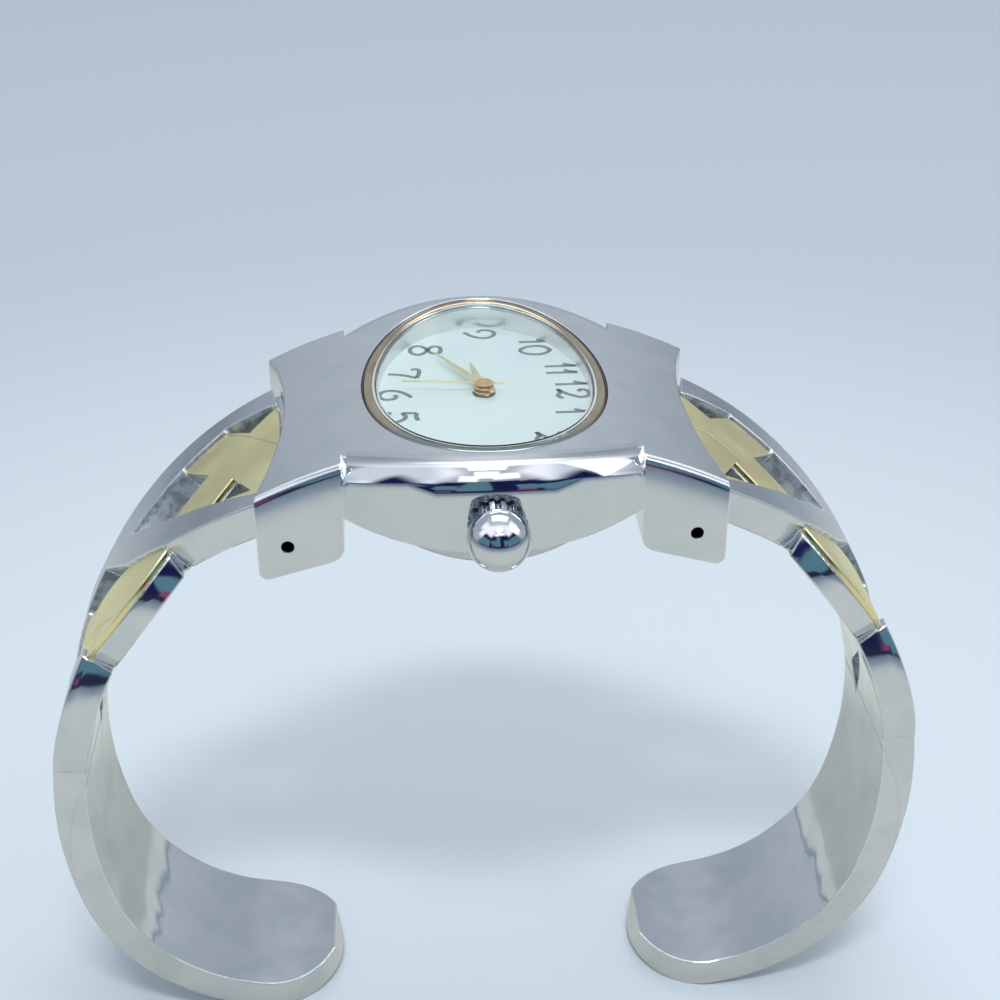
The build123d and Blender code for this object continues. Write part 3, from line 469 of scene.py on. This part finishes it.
def makeOvalGroup():
    # distance in millimetres from an oval line, outwards positive
    tree, bench, given, out = shaderGroup(
        "ovalLine", {"Half Length": ("Float", 8.1), "Half Width": ("Float", 11.6)}, {"Distance": "Float"})
    x, y, z = bench.parts(bench.group(placeGroup)["Place"])
    u, v = bench.math("DIVIDE", x, given["Half Length"]), bench.math("DIVIDE", y, given["Half Width"])
    size = bench.hypot(u, v)
    p, q = bench.math("DIVIDE", u, given["Half Length"]), bench.math("DIVIDE", v, given["Half Width"])
    past, scale = bench.math("SUBTRACT", size, 1.0), bench.math("DIVIDE", size, bench.hypot(p, q))
    bench.feed(out["Distance"], bench.math("MULTIPLY", past, scale))
    return tree


def makeCreaseGroup():
    # a fine fold line on the arms, between two points given as degrees from the dial axis and millimetres towards 9
    tree, bench, given, out = shaderGroup(
        "foldLine", {"Start": ("Vector", (30, 0, 0)), "End": ("Vector", (34, -1, 0)), "Width": ("Float", 0.16)},
        {"Mask": "Float"})
    x, y, z = bench.parts(bench.group(placeGroup)["Place"])
    rise = bench.math("ADD", z, outline["axisDrop"])
    arc = radians(32.1)      # millimetres of the gold's outer face in one degree
    along = bench.product(bench.math("ARCTAN2", x, rise), 180 / pi, arc)
    here = bench.put("ShaderNodeCombineXYZ", {"X": along, "Y": y}).outputs[0]
    start, end = (bench.vector("MULTIPLY", given[point], (arc, 1, 0)) for point in ("Start", "End"))
    line, reach = bench.vector("SUBTRACT", end, start), bench.vector("SUBTRACT", here, start)
    dots = [bench.vector("DOT_PRODUCT", other, line) for other in (reach, line)]
    share = bench.math("DIVIDE", *dots, clamp=True)
    scaled = bench.put("ShaderNodeVectorMath", {0: line, "Scale": share}, operation="SCALE").outputs[0]
    away = bench.vector("DISTANCE", reach, scaled)
    bench.feed(out["Mask"], bench.spread(away, 0.0, given["Width"], 1.0, 0.0))
    return tree


placeGroup = makePlaceGroup()
pillowGroup = makePillowGroup()
rollGroup = makeRollGroup()
ovalGroup = makeOvalGroup()
creaseGroup = makeCreaseGroup()
outerFaceGroup = makeOuterFaceGroup()
driftGroup = makeDriftGroup()
wearGroup = makeWearGroup()
edgeGroup = makeEdgeGroup()

# one material for each look slot

metalDefaults = {"metallic": 1.0, "smear": 0.04, "grain": 12.0, "stretch": 6.0, "grainDepth": 0.001,
                 "driftScale": 0.3, "driftShare": 0.6, "edgeHighlightShare": 0.7, "fold": 0.0}
# where the metals' effects begin and end, in millimetres, and how strong they are
belly = {"crownSide": (-13.75, -13.85), "crownHalf": 2.4, "crownEdge": 0.04, "flank": (2.8, 4.4), "flankReflectionShare": 0.3,
         "neckSide": (-15.1, -14.9), "neckShadeShare": 0.4, "neckGloss": 0.3}
window = {"side": (-5.2, -4.9), "reach": (30.05, 30.2, 0.0, 0.8), "facing": (-0.1, -0.3), "gloss": 0.4,
          "mottleScale": 1.6, "paintedMottle": (0.35, 0.6, 0.35, 1.0), "paintedDarkReflection": (0.1, 0.12, 0.2, 1)}
boreShade = {"aside": 13.5, "height": 0.351, "mouth": (0.42, 0.47, 1.0, 0.0), "tint": (0.05, 0.05, 0.1, 1)}
hub = {"edge": (0.6, 0.95, 1.0, 0.0)}
reflector = {"aside": (1.2, 4.5)}
creaseShadeShare = 0.35


class Coat:
    # tint, roughness and height of one plated metal, which its effects change in turn
    def __init__(self, bench, look):
        self.bench, self.look = bench, look
        self.x, self.y, self.z = bench.parts(bench.group(placeGroup)["Place"])
        self.aside = bench.math("ABSOLUTE", self.x)
        self.width, self.whiten = look["edge"], look["edgeHighlightShare"]
        wear = self.worn(look["gloss"])
        self.tint, self.roughness = self.drifted(look["tint"]), wear["Roughness"]
        self.height = bench.math("MULTIPLY", wear["Height"], look["grainDepth"])

    def worn(self, gloss):
        look = self.look
        return self.bench.group(wearGroup, Gloss=gloss, Smear=look["smear"], Grain=look["grain"],
                                Stretch=look["stretch"])

    def drifted(self, tint):
        look = self.look
        return self.bench.group(driftGroup, Tint=tint, Drift=look["drift"], Scale=look["driftScale"],
                                Share=look["driftShare"])["Color"]

    def stain(self, share, tint):
        self.tint = self.bench.blend(share, self.tint, tint)

    def addSatin(self):
        # on the curved top only
        bench, look = self.bench, self.look
        self.outer = bench.group(outerFaceGroup, **{"Curve Radius": look["curve"]})["Mask"]
        self.roughness = bench.swing(self.outer, self.roughness, self.worn(look["satin"])["Roughness"])
        self.stain(self.outer, self.drifted(look["satinTint"]))

    def addBelly(self):
        # the rounded middle of the case rolls over softly in the shading; beside the crown's glints its flanks get a
        # painted darker reflection, and the crown's neck gets a painted shade
        bench, look = self.bench, self.look
        rolled = bench.group(rollGroup, **{"Curve Radius": look["curve"]})
        rest, satinShare = bench.opposite(rolled["Mask"]), bench.opposite(rolled["Polish"])
        nearCrown = bench.math("LESS_THAN", self.aside, belly["crownHalf"])
        crown = bench.product(bench.spread(self.y, *belly["crownSide"]), nearCrown)
        self.width = bench.swing(crown, self.width, belly["crownEdge"])
        self.whiten = bench.product(rest, self.whiten)
        self.stain(bench.product(rolled["Mask"], satinShare), look["satinTint"])
        polished = bench.spread(rolled["Polish"], 0.0, 1.0, belly["flankReflectionShare"], 1.0)
        # painted darker reflection on the roll's flanks, away from the crown
        flank = bench.product(bench.spread(self.aside, *belly["flank"]), rolled["Facet"], rolled["Mask"], polished)
        self.stain(flank, look["paintedFlankReflection"])
        sheen = bench.product(rolled["Mask"], bench.swing(satinShare, look["gloss"], look["satin"]))
        self.roughness = bench.math("ADD", sheen, bench.product(rest, self.roughness))
        # painted shade on the crown's neck
        neck = bench.product(crown, bench.spread(self.y, *belly["neckSide"]))
        self.stain(bench.product(neck, belly["neckShadeShare"]), look["paintedNeckShade"])
        self.roughness = bench.swing(neck, self.roughness, belly["neckGloss"])
        self.rolled = rolled

    def addWindows(self):
        # walls inside the openwork that face the crown's side see mostly each other: they get a painted shade, mottled
        # with painted dark reflections
        bench = self.bench
        reach, rise = cuffReach(bench, self.x, self.z)
        behind = bench.math("SUBTRACT", bench.spread(self.y, *window["side"]), self.outer)
        facing = bench.parts(bench.put("ShaderNodeNewGeometry").outputs["Normal"])["Y"]
        inner = bench.product(bench.math("MAXIMUM", behind, 0.0), bench.spread(reach, *window["reach"]),
                              bench.spread(facing, *window["facing"]))
        cloud = bench.noise(bench.group(placeGroup)["Place"], window["mottleScale"], 2.0)
        paintedMottle = bench.spread(cloud, *window["paintedMottle"])
        self.stain(inner, bench.blend(paintedMottle, window["paintedDarkReflection"], self.look["paintedInnerShade"]))
        self.roughness = bench.spread(inner, 0.0, window["reach"][3], self.roughness, window["gloss"], smooth=False)

    def addEdges(self):
        bench, look = self.bench, self.look
        edge = bench.group(edgeGroup, Width=self.width)
        self.normal = edge["Normal"]
        # painted highlight: marked edges are whitened and made glossier
        if "paintedEdgeHighlight" in look:
            sharp = bench.math("MULTIPLY", edge["Mask"], self.whiten)
            self.stain(sharp, look["paintedEdgeHighlight"])
            self.roughness = bench.swing(sharp, self.roughness, look["gloss"])

    def addBores(self):
        # deep small holes get a painted shade
        bench = self.bench
        across, up = bench.math("SUBTRACT", self.aside, boreShade["aside"]), bench.math("SUBTRACT", self.z, boreShade["height"])
        self.stain(bench.spread(bench.hypot(across, up), *boreShade["mouth"]), boreShade["tint"])

    def addSwell(self):
        bench, look = self.bench, self.look
        swell = bench.group(pillowGroup, **{
            "Curve Radius": look["curve"], "Tilt": look["tilt"], "Reach": look["reach"], "Broad": look["broad"],
            "Fold": look["fold"], "Ripple": look["ripple"]})["Height"]
        self.height = bench.math("ADD", self.height, bench.swing(self.outer, swell, 0.0))

    def addRing(self):
        # round-backed in the shading, with bands of tint across it, and a painted greyer reflection on the side by the
        # crown
        bench, look = self.bench, self.look
        off = bench.group(ovalGroup, **dict(zip(("Half Length", "Half Width"), look["oval"])))["Distance"]
        self.height = bench.math("ADD", self.height, bench.product(off, off, -look["dome"]))
        for edge, tint in look["bands"]:
            self.stain(bench.spread(off, *edge), tint)
        self.stain(bench.spread(self.y, *look["nearCrown"]), look["paintedNearReflection"])

    def addCreases(self):
        bench, look = self.bench, self.look
        # each crease is pressed in, with a painted shade along it
        for start, end in (pair for line in look["creases"] for pair in zip(line, line[1:])):
            fold = bench.group(creaseGroup, Start=(*start, 0), End=(*end, 0))["Mask"]
            self.height = bench.math("ADD", self.height, bench.math("MULTIPLY", fold, -look["creaseDepth"]))
            self.stain(bench.math("MULTIPLY", fold, creaseShadeShare), look["paintedCreaseShade"])


def platedMetal(name, look):
    material, bench, shader = newMaterial(name)
    look = {**metalDefaults, **look}
    shader.inputs["Metallic"].default_value = look["metallic"]
    coat = Coat(bench, look)
    if "curve" in look:
        coat.addSatin()
    if "paintedFlankReflection" in look:
        coat.addBelly()
    if "paintedInnerShade" in look:
        coat.addWindows()
    coat.addEdges()
    if "bores" in look:
        coat.addBores()
    if "sideGloss" in look:      # mirrors clearly only straight across the dial
        coat.roughness = bench.spread(coat.aside, *reflector["aside"], coat.roughness, look["sideGloss"])
    if "hub" in look:      # the hands' hubs look warmer
        coat.stain(bench.spread(bench.hypot(coat.x, coat.y), *hub["edge"]), look["hub"])
    if "tilt" in look:
        coat.addSwell()
    if "oval" in look:
        coat.addRing()
    if "creases" in look:
        coat.addCreases()
    bump = bench.put("ShaderNodeBump", {"Strength": 1.0, "Distance": mm, "Height": coat.height, "Normal": coat.normal})
    normal = bump.outputs[0]
    if "paintedFlankReflection" in look:
        normal = bench.blend(coat.rolled["Mask"], normal, coat.rolled["Normal"])
    bench.feed(shader.inputs["Base Color"], coat.tint)
    bench.feed(shader.inputs["Roughness"], coat.roughness)
    bench.feed(shader.inputs["Normal"], normal)
    return material


mouldedDefaults = {"smear": 0.12, "grain": 20.0, "grainDepth": 0.01, "bump": 0.4, "edge": 0.06,
                   "driftScale": 0.8, "driftShare": 0.6}


def moulded(name, look):
    # plastics, rubber and board
    material, bench, shader = newMaterial(name)
    look = {**mouldedDefaults, **look}
    wear = bench.group(wearGroup, Gloss=look["gloss"], Smear=look["smear"], Grain=look["grain"], Stretch=1.0)
    tint = bench.group(driftGroup, Tint=look["tint"], Drift=look["drift"], Scale=look["driftScale"],
                       Share=look["driftShare"])
    edge = bench.group(edgeGroup, Width=look["edge"])
    bump = bench.put("ShaderNodeBump", {"Strength": look["bump"], "Distance": look["grainDepth"] * mm,
                                        "Height": wear["Height"], "Normal": edge["Normal"]})
    bench.feed(shader.inputs["Base Color"], tint["Color"])
    bench.feed(shader.inputs["Roughness"], wear["Roughness"])
    bench.feed(shader.inputs["Normal"], bump.outputs[0])
    return material


metalLooks = {
    "case_metal": {"tint": (0.66, 0.68, 0.71, 1), "drift": (0.58, 0.65, 0.68, 1), "gloss": 0.05, "satin": 0.34,
                   "curve": 33.6, "satinTint": (0.67, 0.7, 0.73, 1), "edge": 0.16, "paintedEdgeHighlight": (0.95, 0.96, 0.98, 1),
                   "tilt": 0.5, "reach": 0.7, "broad": 0.32, "ripple": 0.03, "bores": True,
                   "paintedFlankReflection": (0.44, 0.48, 0.52, 1), "paintedNeckShade": (0.09, 0.11, 0.15, 1)},
    "arm_metal": {"tint": (0.68, 0.7, 0.73, 1), "drift": (0.56, 0.63, 0.67, 1), "gloss": 0.05, "satin": 0.33,
                  "curve": 32.4, "satinTint": (0.67, 0.7, 0.75, 1), "edge": 0.24, "paintedEdgeHighlight": (0.97, 0.98, 1.0, 1),
                  "tilt": 0.6, "reach": 0.7, "broad": 0.12, "fold": 0.03, "ripple": 0.1,
                  "paintedInnerShade": (0.62, 0.68, 0.7, 1)},
    "arm_gold": {"tint": seen(236, 226, 168), "drift": seen(224, 210, 166), "gloss": 0.14, "satin": 0.42, "curve": 32.1,
                 "satinTint": seen(250, 243, 192), "edge": 0.2, "paintedEdgeHighlight": seen(255, 250, 196), "driftScale": 0.18,
                 "creases": (((-36.4, 6.17), (-31.5, 2.86), (-26.9, -0.74)), ((28.0, 0.21), (30.4, 0.16), (34.1, -1.29)),
                             ((-54.9, -6.4), (-60.3, -4.1), (-64.8, -2.6)), ((54.9, -6.4), (60.3, -4.1), (64.8, -2.6))),
                 "creaseDepth": 0.05, "paintedCreaseShade": seen(150, 136, 92)},
    "rim_gold": {"tint": seen(200, 188, 160), "drift": seen(178, 158, 136), "gloss": 0.1, "edge": 0.08,
                 "driftShare": 0.9, "paintedEdgeHighlight": seen(226, 214, 186), "oval": (8.125, 11.625), "dome": 1.0,
                 # the seam to the case, with a painted shadow; the seat of the glass; and the ring's outer side, with a
                 # painted darker reflection
                 "bands": (((0.24, 0.32), seen(58, 50, 44)), ((-0.36, -0.4), seen(184, 190, 184)),
                           ((0.05, 0.3), seen(110, 92, 84))),
                 "nearCrown": (-6.0, -9.5), "paintedNearReflection": seen(158, 170, 168)},
    "back_steel": {"tint": (0.6, 0.61, 0.63, 1), "drift": (0.54, 0.56, 0.6, 1), "gloss": 0.3, "stretch": 14.0,
                   "grainDepth": 0.006, "edge": 0.1},
    "small_steel": {"tint": (0.58, 0.6, 0.62, 1), "drift": (0.5, 0.52, 0.55, 1), "gloss": 0.22, "edge": 0.04,
                    "bores": True},
    "reflector": {"tint": (0.8, 0.81, 0.79, 1), "drift": (0.76, 0.8, 0.79, 1), "gloss": 0.2, "edge": 0.04,
                  "sideGloss": 0.45},
    "hand_gold": {"tint": seen(238, 226, 186), "drift": seen(226, 208, 160), "gloss": 0.3, "hub": seen(226, 180, 108),
                  "edge": 0.04, "driftScale": 1.0},
    "movement_metal": {"tint": (0.62, 0.6, 0.54, 1), "drift": (0.56, 0.55, 0.5, 1), "gloss": 0.3, "edge": 0.05},
    "wheel_brass": {"tint": (0.72, 0.56, 0.27, 1), "drift": (0.66, 0.5, 0.24, 1), "gloss": 0.28, "edge": 0.04},
    "coil_copper": {"tint": (0.7, 0.34, 0.17, 1), "drift": (0.62, 0.28, 0.13, 1), "gloss": 0.26, "edge": 0.04,
                    "grain": 26.0, "stretch": 20.0, "grainDepth": 0.02},
    "cell_steel": {"tint": (0.6, 0.6, 0.62, 1), "drift": (0.54, 0.55, 0.58, 1), "gloss": 0.24, "edge": 0.08},
    "magnet": {"tint": (0.2, 0.2, 0.21, 1), "drift": (0.15, 0.15, 0.16, 1), "gloss": 0.5, "metallic": 0.7,
               "edge": 0.03},
}
mouldedLooks = {
    "seal": {"tint": (0.02, 0.02, 0.022, 1), "drift": (0.035, 0.035, 0.037, 1), "gloss": 0.6},
    "clear_seal": {"tint": (0.7, 0.72, 0.7, 1), "drift": (0.62, 0.65, 0.62, 1), "gloss": 0.25},
    "holder_plastic": {"tint": (0.78, 0.78, 0.75, 1), "drift": (0.72, 0.72, 0.68, 1), "gloss": 0.5},
    "train_plastic": {"tint": (0.75, 0.72, 0.6, 1), "drift": (0.7, 0.66, 0.54, 1), "gloss": 0.45},
    "board": {"tint": (0.02, 0.12, 0.05, 1), "drift": (0.03, 0.17, 0.07, 1), "gloss": 0.3, "driftScale": 2.5},
    "chip": {"tint": (0.012, 0.012, 0.014, 1), "drift": (0.02, 0.02, 0.024, 1), "gloss": 0.45},
}
dialPaint = {"tint": seen(223, 240, 242), "drift": seen(217, 234, 239), "driftScale": 0.12, "gloss": 0.32,
             "smear": 0.06, "grain": 30.0, "bump": 0.15, "grainDepth": 0.002, "coat": 0.5, "coatGloss": 0.08}
watchGlass = {"tint": (0.97, 0.99, 0.985, 1), "ior": 1.45, "gloss": 0.0, "smear": 0.012, "grain": 3.0}


def makeDialPaint():
    material, bench, shader = newMaterial("dialPaint")
    look = dialPaint
    tint = bench.group(driftGroup, Tint=look["tint"], Drift=look["drift"], Scale=look["driftScale"], Share=1.0)
    wear = bench.group(wearGroup, Gloss=look["gloss"], Smear=look["smear"], Grain=look["grain"], Stretch=1.0)
    bump = bench.put("ShaderNodeBump", {"Strength": look["bump"], "Distance": look["grainDepth"] * mm,
                                        "Height": wear["Height"]})
    bench.feed(shader.inputs["Base Color"], tint["Color"])
    bench.feed(shader.inputs["Roughness"], wear["Roughness"])
    bench.feed(shader.inputs["Normal"], bump.outputs[0])
    shader.inputs["Coat Weight"].default_value = look["coat"]
    shader.inputs["Coat Roughness"].default_value = look["coatGloss"]
    return material


def makeWatchGlass():
    # light reaches the dial through the glass
    material, bench, shader = newMaterial("watchGlass")
    shader.inputs["Base Color"].default_value = watchGlass["tint"]
    shader.inputs["Transmission Weight"].default_value = 1.0
    shader.inputs["IOR"].default_value = watchGlass["ior"]
    wear = bench.group(wearGroup, Gloss=watchGlass["gloss"], Smear=watchGlass["smear"], Grain=watchGlass["grain"],
                       Stretch=1.0)
    bench.feed(shader.inputs["Roughness"], wear["Roughness"])
    clear = bench.put("ShaderNodeBsdfTransparent", {"Color": watchGlass["tint"]})
    path = bench.put("ShaderNodeLightPath").outputs
    share = bench.math("MAXIMUM", path["Is Shadow Ray"], path["Is Diffuse Ray"])
    mixed = bench.put("ShaderNodeMixShader", {0: share, 1: shader.outputs[0], 2: clear.outputs[0]})
    bench.feed(material.node_tree.nodes["Material Output"].inputs["Surface"], mixed.outputs[0])
    return material


finishes = {slot: platedMetal(slot.replace("_", "") + "Finish", look) for slot, look in metalLooks.items()}
finishes.update({slot: moulded(slot.replace("_", "") + "Finish", look) for slot, look in mouldedLooks.items()})
finishes["dial_paint"] = makeDialPaint()
finishes["glass"] = makeWatchGlass()
for cadNode in frame["nodes"].values():
    for place in cadNode.material_slots:
        place.material = finishes[place.material.name.split(".")[0]]
print("finishes on", len(frame["nodes"]), "nodes")

# numbers 1 to 12, drawn as pen strokes on the dial

numerals = {
    "height": 2.2, "width": 1.4, "narrow": 0.45, "stroke": 0.31, "ink": 0.012, "dialTop": 5.5, "lift": 0.001,
    "ringLong": 9.6, "ringShort": 6.07, "pairGap": 0.42, "resolution": 6,
    "tint": seen(104, 114, 116), "drift": seen(112, 122, 126), "gloss": 0.3, "smear": 0.1, "grain": 24.0,
    # millimetres towards 12 and towards 9
    "nudges": {2: (0.0, 0.35), 7: (0.28, 0.0), 8: (0.28, 0.0), 9: (0.2, 0.0), 11: (-0.1, 0.0)},
}
# strokes as (across, up) shares of a digit's box; a third number thickens the pen there
digitStrokes = {
    "0": (((0.5, 1.0), (0.1, 0.78), (0.0, 0.5), (0.1, 0.22), (0.5, 0.0), (0.9, 0.22), (1.0, 0.5), (0.9, 0.78),
           (0.5, 1.0)),),
    "1": (((0.5, 0.0), (0.5, 0.5), (0.5, 1.0, 0.7)), ((0.2, 0.6, 0.7), (0.34, 0.74, 1.3), (0.5, 1.0, 0.8))),
    "2": (((0.3, 0.68, 1.6), (0.1, 0.76), (0.25, 0.95), (0.6, 1.0), (0.92, 0.8), (0.75, 0.5), (0.35, 0.2), (0.0, 0.03)),
          ((0.0, 0.04, 1.2), (0.35, 0.1, 1.7), (0.7, 0.02, 1.5), (1.0, 0.16, 0.7))),
    "3": (((0.2, 0.78, 1.6), (0.15, 0.93), (0.5, 1.0), (0.85, 0.85), (0.75, 0.62), (0.42, 0.54)),
          ((0.42, 0.54), (0.85, 0.48), (1.0, 0.25), (0.75, 0.03), (0.35, 0.0), (0.05, 0.12), (0.12, 0.24, 1.6))),
    "4": (((0.72, 0.0), (0.72, 0.5), (0.72, 1.0)), ((0.72, 1.0), (0.4, 0.66), (0.0, 0.3)),
          ((0.0, 0.3), (0.5, 0.3), (1.0, 0.33))),
    "5": (((0.9, 1.0, 0.8), (0.55, 0.94, 1.6), (0.14, 0.96, 1.1)), ((0.14, 0.96), (0.12, 0.75), (0.1, 0.52)),
          ((0.1, 0.52), (0.5, 0.62), (0.9, 0.46), (1.0, 0.28), (0.8, 0.06), (0.4, 0.0), (0.08, 0.08),
           (0.08, 0.2, 1.6))),
    "6": (((0.78, 1.0, 1.2), (0.3, 0.76), (0.03, 0.45), (0.08, 0.16), (0.5, 0.0), (0.92, 0.14), (0.96, 0.36),
           (0.72, 0.52), (0.46, 0.48, 1.5)),),
    "7": (((0.05, 0.72, 0.9), (0.04, 0.94, 1.1), (0.3, 0.98, 1.5), (1.0, 0.9, 1.5)),
          ((1.0, 0.9), (0.66, 0.45), (0.5, 0.0))),
    "8": (((0.5, 0.57), (0.12, 0.72), (0.12, 0.92), (0.5, 1.0), (0.88, 0.92), (0.88, 0.72), (0.5, 0.57), (0.05, 0.38),
           (0.0, 0.18), (0.5, 0.0), (1.0, 0.18), (0.95, 0.38), (0.5, 0.57)),),
    "9": (((0.3, 0.44, 1.5), (0.06, 0.56), (0.05, 0.8), (0.4, 1.0), (0.9, 0.86), (1.0, 0.58), (0.75, 0.26),
           (0.25, 0.0, 1.2)),),
}


def makeInk():
    material, bench, shader = newMaterial("numeralInk")
    tint = bench.group(driftGroup, Tint=numerals["tint"], Drift=numerals["drift"], Scale=2.0, Share=0.5)
    wear = bench.group(wearGroup, Gloss=numerals["gloss"], Smear=numerals["smear"], Grain=numerals["grain"],
                       Stretch=1.0)
    bench.feed(shader.inputs["Base Color"], tint["Color"])
    bench.feed(shader.inputs["Roughness"], wear["Roughness"])
    return material


def makePenTree(ink):
    tree = bpy.data.node_groups.new("penStroke", "GeometryNodeTree")
    for direction in ("INPUT", "OUTPUT"):
        tree.interface.new_socket("Geometry", in_out=direction, socket_type="NodeSocketGeometry")
    for name in ("Stroke Width", "Ink Height"):
        tree.interface.new_socket(name, in_out="INPUT", socket_type="NodeSocketFloat")
    bench = Bench(tree)
    given = tree.nodes.new("NodeGroupInput").outputs
    size = {"Width": given["Stroke Width"], "Height": given["Ink Height"]}
    nib = bench.put("GeometryNodeCurvePrimitiveQuadrilateral", size)
    facing = bench.put("GeometryNodeSetCurveNormal", {"Curve": given["Geometry"]}, mode="Z_UP")
    sweep = {"Curve": facing.outputs[0], "Profile Curve": nib.outputs[0], "Fill Caps": True}
    swept = bench.put("GeometryNodeCurveToMesh", sweep)
    inked = bench.put("GeometryNodeSetMaterial", {"Geometry": swept.outputs[0], "Material": ink})
    bench.feed(tree.nodes.new("NodeGroupOutput").inputs["Geometry"], inked.outputs[0])
    return tree


def makeNumerals():
    ink = makeInk()
    line = bpy.data.curves.new("numeralStrokes", "CURVE")
    line.dimensions, line.resolution_u = "3D", numerals["resolution"]
    height, width = numerals["height"], numerals["width"]
    level = numerals["dialTop"] + numerals["ink"] / 2 + numerals["lift"]
    for hour in range(1, 13):
        turn = radians(30 * hour)
        reach = 1 / sqrt((cos(turn) / numerals["ringShort"]) ** 2 + (sin(turn) / numerals["ringLong"]) ** 2)
        middle = Vector((reach * cos(turn), -reach * sin(turn))) + Vector(numerals["nudges"].get(hour, (0, 0)))
        digits = str(hour)
        widths = [width * numerals["narrow"] if digit == "1" else width for digit in digits]
        left = -(sum(widths) + numerals["pairGap"] * (len(digits) - 1)) / 2
        for digit, digitWidth in zip(digits, widths):
            for stroke in digitStrokes[digit]:
                spline = line.splines.new("BEZIER")
                spline.bezier_points.add(len(stroke) - 1)
                for point, (across, up, *thick) in zip(spline.bezier_points, stroke):
                    shift = (across - 0.5) * width + digitWidth / 2
                    point.co = Vector((middle.x + (up - 0.5) * height, middle.y - left - shift, level)) * mm
                    point.handle_left_type = point.handle_right_type = "AUTO"
                    point.radius = thick[0] if thick else 1.0
            left += digitWidth + numerals["pairGap"]
    strokes = bpy.data.objects.new("numeralStrokes", line)
    scene.collection.objects.link(strokes)
    pen = strokes.modifiers.new("penStroke", "NODES")
    pen.node_group = makePenTree(ink)
    sockets = {item.name: item.identifier for item in pen.node_group.interface.items_tree if item.in_out == "INPUT"}
    pen[sockets["Stroke Width"]] = numerals["stroke"] * mm
    pen[sockets["Ink Height"]] = numerals["ink"] * mm
    ready = strokes.evaluated_get(bpy.context.evaluated_depsgraph_get())
    mesh = bpy.data.meshes.new_from_object(ready)
    mesh.name = "dialNumerals"
    bpy.data.objects.remove(strokes)
    printed = bpy.data.objects.new("dialNumerals", mesh)
    scene.collection.objects.link(printed)
    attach(printed, "case")
    print("numerals:", len(mesh.polygons), "faces")


makeNumerals()
